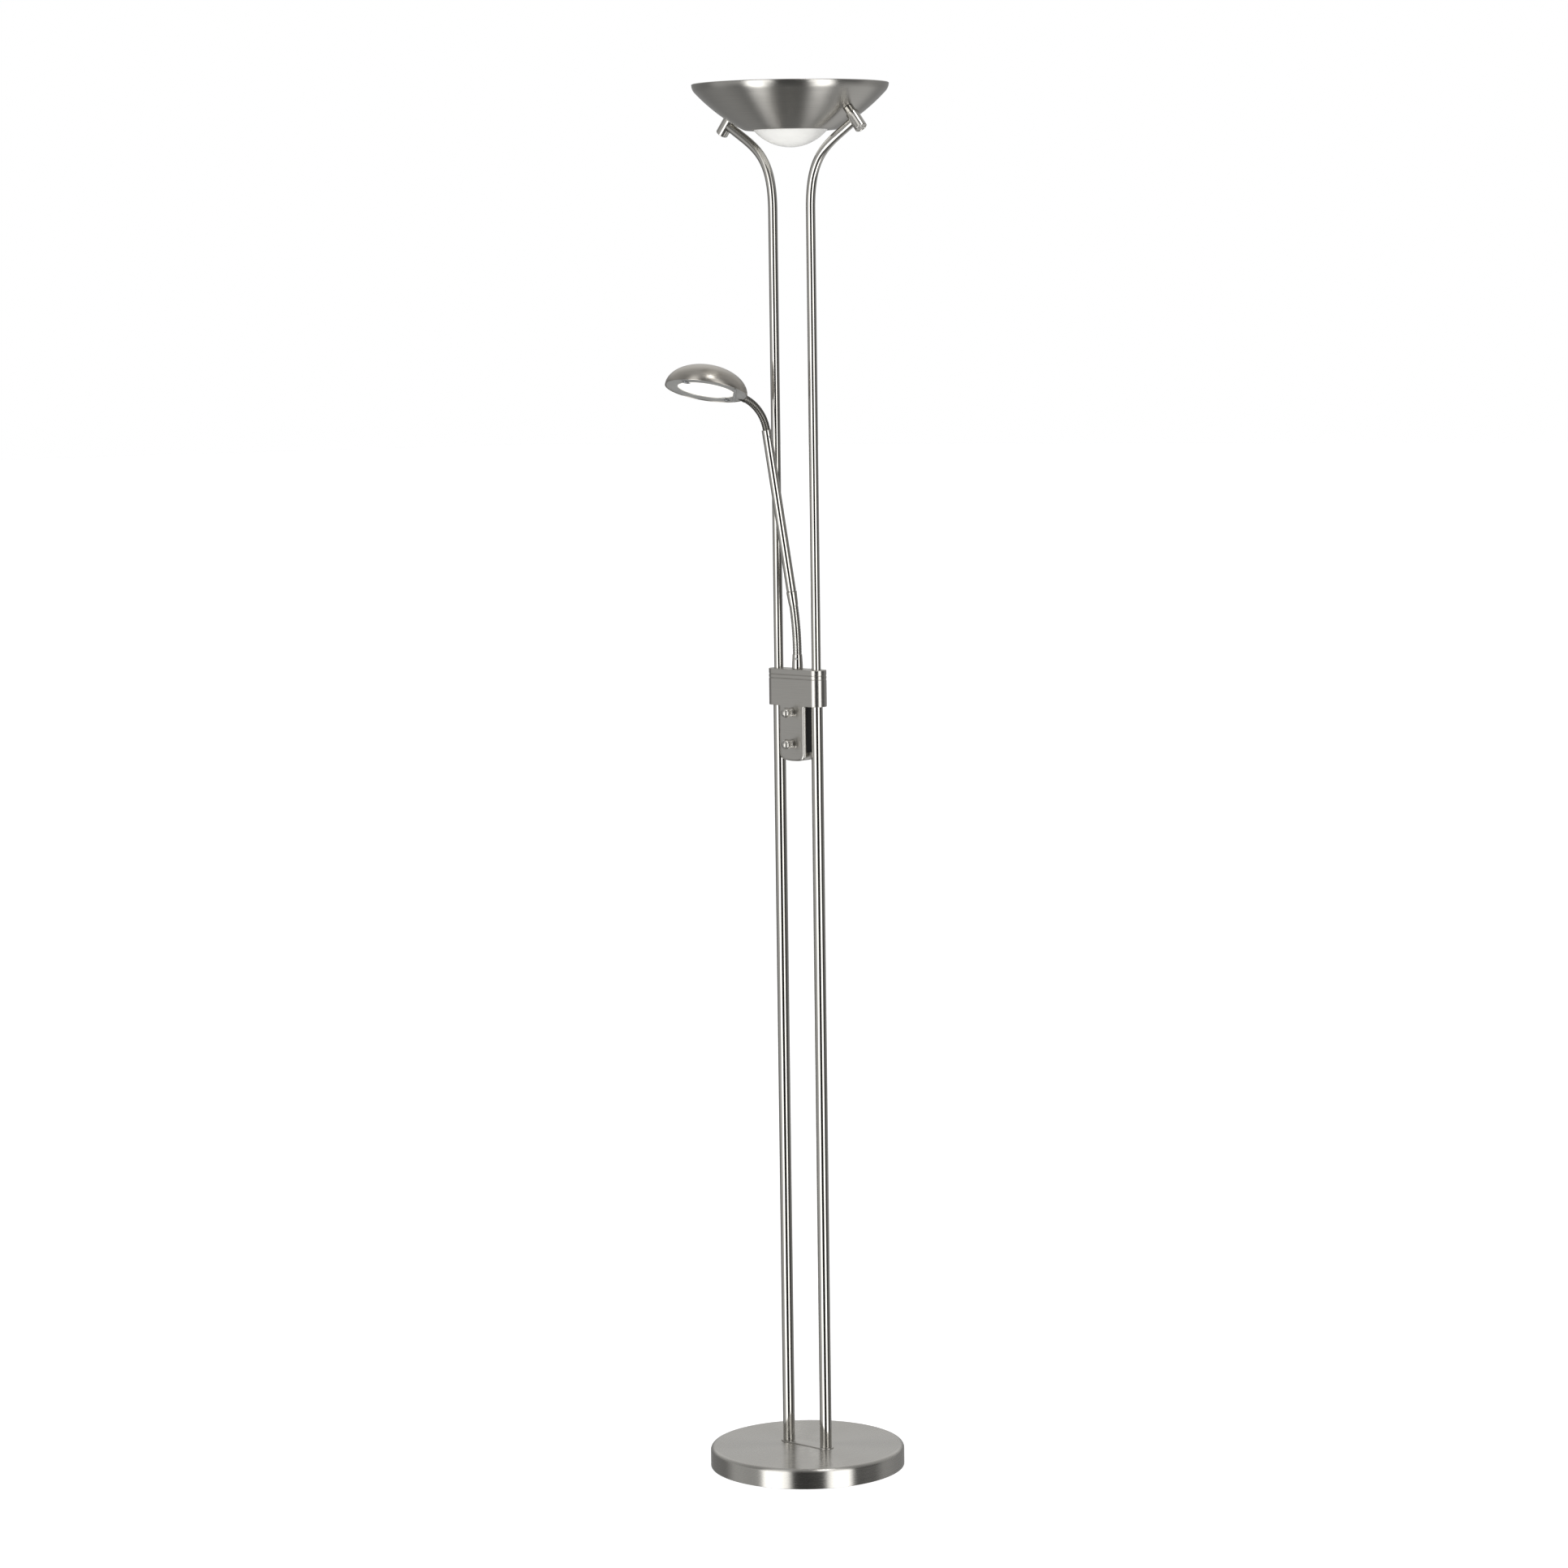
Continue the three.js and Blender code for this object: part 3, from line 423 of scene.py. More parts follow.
def make_finishes():
    return {
        "spun": spun_nickel("spun_nickel", 0.27, 0.95, 0.8),
        "bowl": spun_nickel("spun_nickel_bowl", 0.31, 0.95, 1.3),
        "dome": spun_nickel("spun_nickel_dome", 0.30, 0.5, 1.2, (0.56, 0.53, 0.48)),
        "turned": straight_nickel("turned_nickel", 0.14, (500, 500, 900), 0.0, 0.5),
        "knob": straight_nickel("knob_nickel", 0.33, (500, 500, 900), 0.0, 0.5),
        "tube": straight_nickel("drawn_nickel", 0.09, (900, 900, 12), 0.0, 0.2),
        "satin": straight_nickel("satin_nickel", 0.31, (40, 40, 1500), 0.75, 1.0),
        "bright": steel("bright_steel", (0.80, 0.80, 0.78), 0.25),
        "zinc": steel("zinc_plated_steel", (0.50, 0.51, 0.52), 0.3),
        "hose": steel("hose_steel", (0.50, 0.49, 0.46), 0.14, 200),
        "dark_hose": steel("dark_hose_steel", (0.17, 0.165, 0.15), 0.28, 200),
        "iron": moulded("cast_iron", (0.09, 0.088, 0.085), 0.7, 500, 0.00025, 0.6),
        "rubber": moulded("black_rubber", (0.018, 0.018, 0.018), 0.8),
        "plastic": moulded("black_plastic", (0.012, 0.012, 0.013), 0.42),
        "ring": painted_ring(),
        # The dish and the head's pane both carry a painted glow of emission.
        "dish": painted_glow_glass("opal_glass", (0.72, 0.715, 0.69), 0.06, 0.0, 50),
        "pane": painted_glow_glass("lit_glass", (0.86, 0.85, 0.82), 1.2, 0.25, 38),
        "lamp": quartz(),
        "ceramic": ceramic(),
        "mirror": steel("bright_aluminium", (0.85, 0.85, 0.86), 0.12, 20),
    }


# ------------------------ mesh helpers
def arc(x, y, radius, start, stop, steps):
    """Points of a round stretch, both ends included; angles in degrees."""
    angles = [math.radians(start + (stop - start) * i / steps) for i in range(steps + 1)]
    return [(x + radius * math.cos(a), y + radius * math.sin(a)) for a in angles]


def rounded(corners, steps=5):
    """A closed outline through corners (x, y, fillet), each fillet drawn as an arc."""
    outline = []
    for i, (x, y, fillet) in enumerate(corners):
        here = Vector((x, y))
        before = Vector(corners[i - 1][:2]) - here
        after = Vector(corners[(i + 1) % len(corners)][:2]) - here
        if not fillet:
            outline.append((x, y))
            continue
        before.normalize()
        after.normalize()
        half = before.angle(after) / 2
        reach = fillet / math.tan(half)
        middle = here + (before + after).normalized() * (fillet / math.sin(half))
        first = here + before * reach - middle
        last = here + after * reach - middle
        turn = first.angle_signed(last)
        begin = math.atan2(first.y, first.x)
        for k in range(steps + 1):
            angle = begin - turn * k / steps
            outline.append((middle.x + fillet * math.cos(angle),
                            middle.y + fillet * math.sin(angle)))
    return outline


def is_point(ring):
    return all((Vector(p) - Vector(ring[0])).length < 1e-6 for p in ring)


def skin(name, rings, looped=True, place=None):
    """A closed mesh over successive rings of points. Looped joins the last ring to the
    first, and otherwise both ends are capped. Place is where the mesh goes, in metres."""
    count, sides = len(rings), len(rings[0])
    flat = [is_point(ring) for ring in rings]
    faces = []
    for i in range(count if looped else count - 1):
        j = (i + 1) % count
        if flat[i] and flat[j]:
            continue
        for k in range(sides):
            m = (k + 1) % sides
            faces.append((i * sides + k, i * sides + m, j * sides + m, j * sides + k))
    if not looped:
        faces.append(tuple(range(sides)))
        faces.append(tuple((count - 1) * sides + k for k in range(sides)))
    mesh = bpy.data.meshes.new(name)
    mesh.from_pydata([Vector(p) * MM for ring in rings for p in ring], [], faces)
    work = bmesh.new()
    work.from_mesh(mesh)
    bmesh.ops.remove_doubles(work, verts=work.verts, dist=1e-7)
    bmesh.ops.recalc_face_normals(work, faces=work.faces)
    work.to_mesh(mesh)
    work.free()
    piece = bpy.data.objects.new(name, mesh)
    bpy.context.scene.collection.objects.link(piece)
    piece.matrix_world = place or Matrix.Identity(4)
    return piece


def turned(name, outline, sides=64, place=None):
    """A closed outline of (radius, height) points, turned about Z."""
    spokes = [(math.cos(a), math.sin(a))
              for a in (2 * math.pi * k / sides for k in range(sides))]
    rings = [[(r * c, r * s, z) for c, s in spokes] for r, z in outline]
    return skin(name, rings, True, place)


def prism(name, outline, low, high, place=None):
    """A plan outline of (x, y) points made solid from one height to another."""
    rings = [[(x, y, z) for x, y in outline] for z in (low, high)]
    return skin(name, rings, False, place)


def slab(name, outline, back, front):
    """An outline in X and Z made solid between two depths in Y."""
    return skin(name, [[(x, y, z) for x, z in outline] for y in (back, front)], False)


def box_piece(name, low, high, place=None):
    (x0, y0, z0), (x1, y1, z1) = low, high
    return prism(name, [(x0, y0), (x1, y0), (x1, y1), (x0, y1)], z0, z1, place)


def rod(name, radius, low, high, sides=32, place=None):
    return prism(name, arc(0, 0, radius, 0, 360, sides)[:-1], low, high, place)


def at(point, direction=UP, turn=0.0):
    """A place at a point in millimetres whose Z runs along a direction."""
    facing = Vector(direction).to_track_quat("Z", "Y").to_matrix().to_4x4()
    spin = Matrix.Rotation(math.radians(turn), 4, "Z")
    return Matrix.Translation(Vector(point) * MM) @ facing @ spin


def settle(piece):
    """The piece's modifiers become part of its mesh."""
    bpy.context.view_layer.update()
    graph = bpy.context.evaluated_depsgraph_get()
    mesh = bpy.data.meshes.new_from_object(piece.evaluated_get(graph))
    piece.modifiers.clear()
    old, piece.data = piece.data, mesh
    bpy.data.meshes.remove(old)


def combine(piece, operation, *tools):
    """Cuts the tools from the piece, or joins them to it."""
    for tool in tools:
        step = piece.modifiers.new("step", "BOOLEAN")
        step.operation = operation
        step.solver = "EXACT"
        step.object = tool
        settle(piece)
        bpy.data.objects.remove(tool)
    return piece


def cut(piece, *tools):
    return combine(piece, "DIFFERENCE", *tools)


def softened(piece, width, segments):
    """Rounds every sharp edge."""
    step = piece.modifiers.new("round", "BEVEL")
    step.width = width * MM
    step.segments = segments
    step.limit_method = "ANGLE"
    step.angle_limit = math.radians(35)
    settle(piece)
    return piece


def smoothed(piece, angle, weighted):
    piece.data.shade_smooth()
    piece.data.set_sharp_from_angle(angle=math.radians(angle))
    if weighted:
        step = piece.modifiers.new("normals", "WEIGHTED_NORMAL")
        step.keep_sharp = True
        settle(piece)


def dress(piece, finish, slot, body, *nodes, angle=32, weighted=True):
    """Shading, material, body, and hiding the CAD nodes that the piece stands for. The slot is
    not used.
    """
    smoothed(piece, angle, weighted)
    piece.data.materials.clear()
    piece.data.materials.append(FINISH[finish])
    if body:
        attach(piece, body)
    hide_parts(*nodes)


def box_of(node):
    low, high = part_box(node)
    return low / MM, high / MM


def middle_of(node):
    low, high = box_of(node)
    return (low + high) / 2


# ------------------------ base and poles
SHEET = 1.2
POLE_X = (middle_of("lower_pole_right") - middle_of("lower_pole_left")).x / 2
LOWER_RADIUS = 7.75
UPPER_RADIUS = 6.0
BOLT_HOLE = 5.3
INLET_HEIGHT = 9.5


def pole_cutters(radius, low, high, turn=0):
    """A round cutter in line with each pole."""
    return [rod("hole", radius, low, high, 32, at((side * POLE_X, 0, 0), UP, turn))
            for side in SIDES.values()]


def base_cover():
    low, high = box_of("base_cover")
    radius, top, skirt = high.x, high.z, low.z
    edge = 5.5
    outline = rounded([
        (radius - SHEET, skirt, 0.4), (radius, skirt, 0.6), (radius, top, edge), (0, top, 0),
        (0, top - SHEET, 0), (radius - SHEET, top - SHEET, edge - SHEET)], 8)
    cover = turned("base_cover_shell", outline, 160)
    # The cutters are turned a little, so that none of their corners meet the cover's.
    turn = 4
    inlet = rod("hole", 5.5, -10, 10, 32, at((0, radius, INLET_HEIGHT), BACK, turn))
    cut(cover, *pole_cutters(BOLT_HOLE, top - 5, top + 5, turn), inlet)
    dress(cover, "spun", "brushed_nickel", STAND, "base_cover")


def base_pad():
    low, high = box_of("base_pad")
    outline = rounded([(0, low.z, 0), (high.x, low.z, 0.8), (high.x, high.z, 0.8),
                       (0, high.z, 0)])
    pad = turned("base_foam_pad", outline, 128)
    dress(pad, "rubber", "black_rubber", STAND, "base_pad")


def inlet_grommet():
    """Grommet for a mains lead, with a groove that the cover's sheet sits in."""
    reach = box_of("base_cover")[1].y
    outline = rounded([
        (3.6, -4, 0.5), (7.7, -4, 0.6), (7.7, -2.2, 0.3), (5.2, -2.2, 0.2), (5.2, 0.7, 0.2),
        (7.7, 0.7, 0.4), (6.2, 3, 0.9), (3.6, 3, 0.6)], 4)
    piece = turned("inlet_grommet_ring", outline, 48, at((0, reach, INLET_HEIGHT), BACK))
    dress(piece, "rubber", "black_rubber", STAND, "cord_inlet_grommet")


def stadium(radius):
    """Straight sides along X with a half circle round each pole."""
    return arc(POLE_X, 0, radius, -90, 90, 24) + arc(-POLE_X, 0, radius, 90, 270, 24)


def stadium_stack(name, radius, levels):
    """A stadium at each (height, inset) level, joined up."""
    rings = [[(x, y, z) for x, y in stadium(radius - inset)] for z, inset in levels]
    return skin(name, rings, False)


def foot_plate():
    low, high = box_of("foot_plate")
    inset = 0.35
    levels = [(low.z, 0), (high.z - inset, 0), (high.z - 0.1, 0.12), (high.z, inset)]
    plate = stadium_stack("foot_plate_strip", high.y, levels)
    cut(plate, *pole_cutters(BOLT_HOLE, low.z - 2, high.z + 2))
    dress(plate, "satin", "zinc_steel", STAND, "foot_plate")


def lower_pole(name, side):
    low, high = box_of(f"lower_pole_{name}")
    bore, depth = 6.55, 20
    outline = rounded([
        (BOLT_HOLE, low.z, 0), (LOWER_RADIUS, low.z, 0.35), (LOWER_RADIUS, high.z, 0.4),
        (bore, high.z, 0.3), (bore, low.z + depth, 0), (BOLT_HOLE, low.z + depth, 0)])
    pole = turned(f"lower_tube_{name}", outline, 64, at((side * POLE_X, 0, 0)))
    dress(pole, "tube", "brushed_nickel", STAND, f"lower_pole_{name}")


POLE_END = {"x": 109, "z": 1752, "lean": 56, "pull": 55}
BEND_START = 1640
BEND_PULL = 75


def bezier(points, t):
    while len(points) > 1:
        points = [a.lerp(b, t) for a, b in zip(points, points[1:])]
    return points[0]


def upper_route(side, start):
    """Straight up from a height, then one sweep outwards to the bowl's fitting."""
    steps = 72
    lean = math.radians(POLE_END["lean"])
    end = Vector((side * POLE_END["x"], 0, POLE_END["z"]))
    back = Vector((-side * math.sin(lean), 0, -math.cos(lean))) * POLE_END["pull"]
    bend = Vector((side * POLE_X, 0, BEND_START))
    hooks = [bend, bend + UP * BEND_PULL, end + back, end]
    return [Vector((side * POLE_X, 0, start))] + [
        bezier(hooks, i / steps) for i in range(steps + 1)]


def tube_rings(route, radius):
    """Rings of a tube along a route in the plane Y = 0."""
    sides = 48
    rings = []
    for i, point in enumerate(route):
        ahead = route[min(i + 1, len(route) - 1)] - route[max(i - 1, 0)]
        out = Vector((ahead.z, 0, -ahead.x)).normalized()
        angles = (2 * math.pi * k / sides for k in range(sides))
        rings.append([point + (out * math.cos(a) + BACK * math.sin(a)) * radius
                      for a in angles])
    return rings


def upper_pole(name, side):
    low, _ = box_of(f"upper_pole_{name}")
    route = upper_route(side, low.z)
    rings = tube_rings(route, UPPER_RADIUS) + tube_rings(route, UPPER_RADIUS - 1)[::-1]
    pole = skin(f"upper_tube_{name}", rings)
    dress(pole, "tube", "brushed_nickel", STAND, f"upper_pole_{name}")


# ------------------------ uplighter bowl
BOWL_TOP = box_of("bowl_shell")[1].z
BOWL_RIM = box_of("bowl_shell")[1].x
RIM_ARC, BODY_ARC, BODY_TURN = 16.0, 235.0, 43.0
RIM_CENTRE = Vector((BOWL_RIM - RIM_ARC, BOWL_TOP))
BODY_CENTRE = RIM_CENTRE + Vector((-math.cos(math.radians(BODY_TURN)),
                                   math.sin(math.radians(BODY_TURN)))) * (BODY_ARC - RIM_ARC)
RIM_STOP = -8                       # degrees; where the bowl's rim meets its bead
LIP_OUTER, LIP_HOLE = 61.0, 49.5
BOWL_SHEET = 1.0
FITTING_RADIUS = 97.0


def bowl_angle(radius):
    return math.degrees(math.acos((radius - BODY_CENTRE.x) / BODY_ARC))


def bowl_height(radius):
    return BODY_CENTRE.y - BODY_ARC * math.sin(math.radians(bowl_angle(radius)))


def bowl_arcs(inset):
    """The bowl's section from its lip to its bead."""
    body = arc(*BODY_CENTRE, BODY_ARC - inset, -bowl_angle(LIP_OUTER), -BODY_TURN, 40)
    rim = arc(*RIM_CENTRE, RIM_ARC - inset, -BODY_TURN, RIM_STOP, 14)
    return body + rim[1:]


def bowl_shell():
    """Spun bowl with a beaded rim and a flat lip that the glass rests on."""
    bead = 1.15
    lip = bowl_height(LIP_OUTER) - 1
    outer = bowl_arcs(0)
    inner = bowl_arcs(BOWL_SHEET)[::-1]
    rim = arc(BOWL_RIM - bead, BOWL_TOP - bead, bead, -35, 215, 12)
    foot = rounded([(*inner[-1], 0), (LIP_OUTER - 4, lip + BOWL_SHEET, 0.6),
                    (LIP_HOLE, lip + BOWL_SHEET, 0.3), (LIP_HOLE, lip, 0.3),
                    (LIP_OUTER - 3, lip, 1.2), (*outer[0], 0)], 4)[1:-1]
    bowl = turned("bowl_spinning", outer + rim + inner + foot, 176)
    cut(bowl, *[rod("hole", 2.3, -6, 6, 20, fitting_place(side)) for side in SIDES.values()])
    dress(bowl, "bowl", "brushed_nickel", STAND, "bowl_shell")


def glass_dish():
    low, high = box_of("glass_dish")
    sphere, wall, flange, seat = 62.0, 2.5, high.x, high.z - 2.5
    centre = low.z + sphere
    edge = math.degrees(math.asin((centre - seat) / sphere))
    inner = sphere - wall
    inner_edge = math.degrees(math.asin((centre - high.z) / inner))
    outline = arc(0, centre, sphere, -90, -edge, 32)
    outline += [(flange - 0.6, seat)] + arc(flange - 1.2, seat + 1.25, 1.2, -60, 60, 6)
    outline += [(flange - 0.6, high.z)] + arc(0, centre, inner, -inner_edge, -90, 32)
    dish = turned("opal_dish", outline, 128, at((0, 0, 0)))
    dress(dish, "dish", "frosted_glass", STAND, "glass_dish")


def fitting_place(side):
    """Square to the bowl's surface, in the plane of the poles."""
    angle = math.radians(bowl_angle(FITTING_RADIUS))
    point = (side * FITTING_RADIUS, 0, bowl_height(FITTING_RADIUS))
    return at(point, (side * math.cos(angle), 0, -math.sin(angle)))


def bowl_fitting(name, side):
    place = fitting_place(side)
    spacer = rounded([(2.3, 0.4, 0), (6.4, 0.4, 0.2), (6.4, 8.6, 0.2), (2.3, 8.6, 0)])
    piece = turned(f"bowl_sleeve_{name}", spacer, 48, place)
    dress(piece, "turned", "brushed_nickel", STAND, f"bowl_spacer_{name}")
    # The end of the knob has a shallow round recess with a raised middle.
    foot, end, radius = 8.9, 33.6, 8
    knob = rounded([
        (2.3, foot, 0.2), (radius, foot, 0.7), (radius, end, 1.0), (6.2, end, 0.3),
        (5.8, end - 0.7, 0.3), (3.2, end - 0.7, 0.3), (2.8, end - 0.3, 0.3),
        (0, end - 0.3, 0), (0, 13, 0), (2.3, 13, 0)], 5)
    piece = turned(f"bowl_grip_{name}", knob, 64, place)
    route = upper_route(side, BEND_START)
    tube_end = at(route[-1], (route[-1] - route[-2]).normalized())
    cut(piece, rod("socket", UPPER_RADIUS + 0.3, -20, 0.3, 48, tube_end))
    dress(piece, "turned", "brushed_nickel", STAND, f"bowl_knob_{name}")


def lamp_bridge():
    low, high = box_of("lamp_bridge")
    foot = high.x
    deck = middle_of("linear_lamp").z - 11
    sole = bowl_height(74) + 1.6
    line = [(-foot, sole + 2.4), (-68, sole - 2.6), (-62, deck), (62, deck), (68, sole - 2.6),
            (foot, sole + 2.4)]
    outline = line + [(x, z + SHEET) for x, z in reversed(line)]
    bridge = softened(slab("lamp_bracket", outline, low.y, high.y), 0.3, 2)
    dress(bridge, "zinc", "zinc_steel", STAND, "lamp_bridge")


def lampholder(name, side):
    low, high = box_of(f"lampholder_{name}")
    holder = softened(box_piece(f"ceramic_holder_{name}", low, high), 1.2, 3)
    centre = middle_of("linear_lamp")
    inner = low.x if side > 0 else high.x
    seat = rod("seat", 4.2, -0.5, 4.6, 32, at((inner, 0, centre.z), (side, 0, 0)))
    slot = box_piece("slot", (min(inner, inner + side * 4) - 0.1, -2.4, centre.z),
                     (max(inner, inner + side * 4) + 0.1, 2.4, high.z + 1))
    cut(holder, seat, slot)
    dress(holder, "ceramic", "white_ceramic", STAND, f"lampholder_{name}")


def linear_lamp():
    """Double-ended halogen lamp: quartz tube with narrow round pinched ends, and ceramic caps.
    """
    low, high = box_of("linear_lamp")
    centre = middle_of("linear_lamp")
    half, radius = (high.x - low.x) / 2, (high.z - low.z) / 2
    place = at(centre, ACROSS)
    cap, pinch = 9, 4
    body = half - cap - pinch
    outline = rounded([(0, -body - pinch, 0), (2.2, -body - pinch, 0.5), (2.4, -body - 1, 1),
                       (radius, -body + 2, 2), (radius, body - 2, 2), (2.4, body + 1, 1),
                       (2.2, body + pinch, 0.5), (0, body + pinch, 0)])
    tube = turned("halogen_tube", outline, 48, place)
    dress(tube, "lamp", "lamp_glass", STAND, "linear_lamp")
    for name, side in SIDES.items():
        inner, outer = half - cap, half
        ends = rounded([(0, inner, 0), (3.4, inner, 0.5), (3.4, outer, 0.9), (0, outer, 0)])
        piece = turned(f"halogen_cap_{name}", [(r, side * z) for r, z in ends], 32, place)
        dress(piece, "ceramic", "white_ceramic", STAND)


# ------------------------ collar and dimmers
COLLAR_BOX = box_of("collar_front_shell")
COLLAR_RADIUS = -COLLAR_BOX[0].y
COLLAR_TOP = COLLAR_BOX[1].z
COLLAR_BOTTOM = 1004.7
COLLAR_WALL = 1.6
COLLAR_ROOF = 2.0
TONGUE_HALF = 21.3
TONGUE_BOTTOM = COLLAR_BOX[0].z
TONGUE_SAG = 9.0
TONGUE_FLARE = 2.6
TONGUE_EDGE = 3.0
FLANGE = 4.4
GROOVE_DROPS = (12, 7)
MEETING = 0.15                      # half the gap where the collar's shells meet
DIMMER_HEIGHTS = {name: middle_of(f"dimmer_knob_{name}").z for name in ("upper", "lower")}
SCREW_HEIGHT = middle_of("collar_screw").z


def tongue_outline(inset, top, flare=0.0):
    """The tongue's outline in X and Z. Its bottom edge is one flat curve. The flare is
    the radius that turns its sides outwards below the collar."""
    half = TONGUE_HALF - inset
    bottom = TONGUE_BOTTOM + inset
    shoulder = bottom + TONGUE_SAG
    left = [Vector((-half, shoulder)), Vector((-half, bottom + 2)),
            Vector((-half + 8, bottom)), Vector((0, bottom))]
    down = [(-p.x, p.y) for p in (bezier(left, i / 16) for i in range(17))]
    side = [(half, top)]
    if flare:
        turn = arc(TONGUE_HALF + flare, COLLAR_BOTTOM - flare, flare + inset, 95, 180, 8)
        side = [(turn[0][0], top)] + turn
    right = side + down
    return right + [(-x, z) for x, z in reversed(right)][1:]


def collar_band(name):
    """The collar's outside: rounded at both ends, with two grooves near the top."""
    edge = 0.6
    turns = [math.radians(22.5 * i) for i in range(5)]
    levels = [(COLLAR_BOTTOM + edge - edge * math.cos(a), edge - edge * math.sin(a))
              for a in turns]
    groove = [(-0.8, 0), (-0.62, 0.08), (-0.35, 0.5), (-0.15, 0.6), (0.15, 0.6), (0.35, 0.5),
              (0.62, 0.08), (0.8, 0)]
    for drop in GROOVE_DROPS:
        levels += [(COLLAR_TOP - drop + dz, inset) for dz, inset in groove]
    levels += [(COLLAR_TOP - edge + edge * math.sin(a), edge - edge * math.cos(a))
               for a in turns]
    return stadium_stack(name, COLLAR_RADIUS, levels)


def tongue():
    """The tongue's outside, with a soft front edge."""
    top = COLLAR_BOTTOM + 5
    rings = [[(x, -MEETING, z) for x, z in tongue_outline(0, top, TONGUE_FLARE)]]
    for i in range(7):
        turn = math.radians(15 * i)
        inset = TONGUE_EDGE * (1 - math.cos(turn))
        depth = -COLLAR_RADIUS + TONGUE_EDGE * (1 - math.sin(turn))
        rings.append([(x, depth, z) for x, z in tongue_outline(inset, top, TONGUE_FLARE)])
    return skin("tongue", rings, False)


def shell_half(name, *holes):
    """Half of the collar, facing -Y: a band, a roof and a tongue, all hollow."""
    radius, wall = COLLAR_RADIUS, COLLAR_WALL
    shell = combine(collar_band(name), "UNION", tongue())
    cut(shell,
        box_piece("rear", (-60, -MEETING, TONGUE_BOTTOM - 5), (60, 60, COLLAR_TOP + 5)),
        prism("cavity", stadium(radius - wall), COLLAR_BOTTOM - 1, COLLAR_TOP - COLLAR_ROOF),
        slab("hollow", tongue_outline(wall, COLLAR_BOTTOM + 8), -radius + wall, 5))
    for side in SIDES.values():
        low, high = sorted((side * (TONGUE_HALF - wall - 0.5), side * (TONGUE_HALF + 12)))
        cut(shell, box_piece("window", (low, -radius + FLANGE, TONGUE_BOTTOM + 12),
                             (high, 5, COLLAR_BOTTOM - 0.02)))
        cut(shell, rod("hole", UPPER_RADIUS + 0.15, COLLAR_TOP - 6, COLLAR_TOP + 3, 48,
                       at((side * POLE_X, 0, 0))))
    return cut(shell, rod("hole", 4.3, COLLAR_TOP - 6, COLLAR_TOP + 3, 32), *holes)


def shaft_cutters(sides):
    """A round cutter for each dimmer's shaft."""
    return [rod("hole", 3.8, -5, 20, sides, at((0, -8, z), FRONT))
            for z in DIMMER_HEIGHTS.values()]


def collar():
    front = shell_half("collar_face", *shaft_cutters(32))
    dress(front, "satin", "brushed_nickel", STAND, "collar_front_shell", angle=28)
    rear = shell_half("collar_back",
                      rod("hole", 1.8, -5, 20, 24, at((0, -8, SCREW_HEIGHT), FRONT)))
    rear.matrix_world = Matrix.Rotation(math.pi, 4, "Z")
    dress(rear, "satin", "brushed_nickel", STAND, "collar_rear_shell", angle=28)


def collar_screw():
    face = COLLAR_RADIUS + 0.1
    outline = rounded([(0, 3, 0), (1.5, 3, 0.2), (1.5, face, 0), (3, face, 0.15),
                       (2.6, face + 1.3, 0.5), (0, face + 1.6, 0)])
    screw = turned("collar_screw_head", outline, 40, at((0, 0, SCREW_HEIGHT), BACK))
    cut(screw, box_piece("slot", (-4, face + 0.9, SCREW_HEIGHT - 0.3),
                         (4, face + 3, SCREW_HEIGHT + 0.3)))
    dress(screw, "zinc", "zinc_steel", STAND, "collar_screw")


def dimmer_box():
    inset = COLLAR_WALL + 0.3
    top = COLLAR_BOTTOM - 1
    depth = COLLAR_RADIUS - inset
    case = slab("dimmer_case", tongue_outline(inset, top), -depth, depth)
    softened(case, 0.6, 2)
    cut(case, slab("hollow", tongue_outline(inset + 1.5, top + 5), -depth + 1.5, depth - 1.5),
        *shaft_cutters(24))
    dress(case, "plastic", "black_plastic", STAND, "dimmer_box")


def dimmer_knob(name, height):
    """A turned knob: a short barrel, a waist and a ball end."""
    barrel, ball, reach, waist = 5.7, 6.5, 11.0, 4.6
    bore, depth = 1.55, 9.3
    turn = math.degrees(math.asin(waist / ball))
    foot = rounded([(bore, depth, 0), (bore, 0.5, 0.2), (barrel, 0.5, 0.4),
                    (barrel, 5.2, 0.5), (waist, 5.5, 0.2)], 4)
    dome = arc(0, reach, ball, turn - 90, 90, 28)
    place = at((0, -COLLAR_RADIUS, height), FRONT)
    knob = turned(f"knob_{name}", foot + dome + [(0, depth)], 56, place)
    dress(knob, "knob", "brushed_nickel", f"dimmer_{name}", f"dimmer_knob_{name}")


# ------------------------ reading arm
def pivots(first, count):
    """The points that a hose turns about, in millimetres, from its first link's joint."""
    chain = [j for j in frame["joints"] if j["child"] == first]
    while len(chain) < count:
        chain += [j for j in frame["joints"] if j["parent"] == chain[-1]["child"]]
    return [Vector(j["pos_m"]) / MM for j in chain]


def chain_bodies(first, count):
    """The bodies along a hose, from the one that its first link hangs on."""
    bodies = []
    for joint in [j for j in frame["joints"] if j["child"] == first]:
        bodies = [joint["parent"], first]
    while len(bodies) < count:
        bodies += [j["child"] for j in frame["joints"] if j["parent"] == bodies[-1]]
    return bodies


LINKS = 5
LOW_PIVOTS = pivots("lower_flex_1", LINKS + 1)
TOP_PIVOTS = pivots("upper_flex_1", LINKS + 1)
LEAN = (TOP_PIVOTS[0] - LOW_PIVOTS[-1]).normalized()
HEADING = -114.0                    # plan direction of the arm, in degrees from +X
HOSE_SIDES = 40
WINDING_DEPTH = 0.2
BURIED = 2.5                        # how far a hose goes on past its end pivots
STEPS_A_TURN = 14                   # rings in each turn of the winding
HOSE_SEAT = 5.85                    # radius of the seats of the lower hose


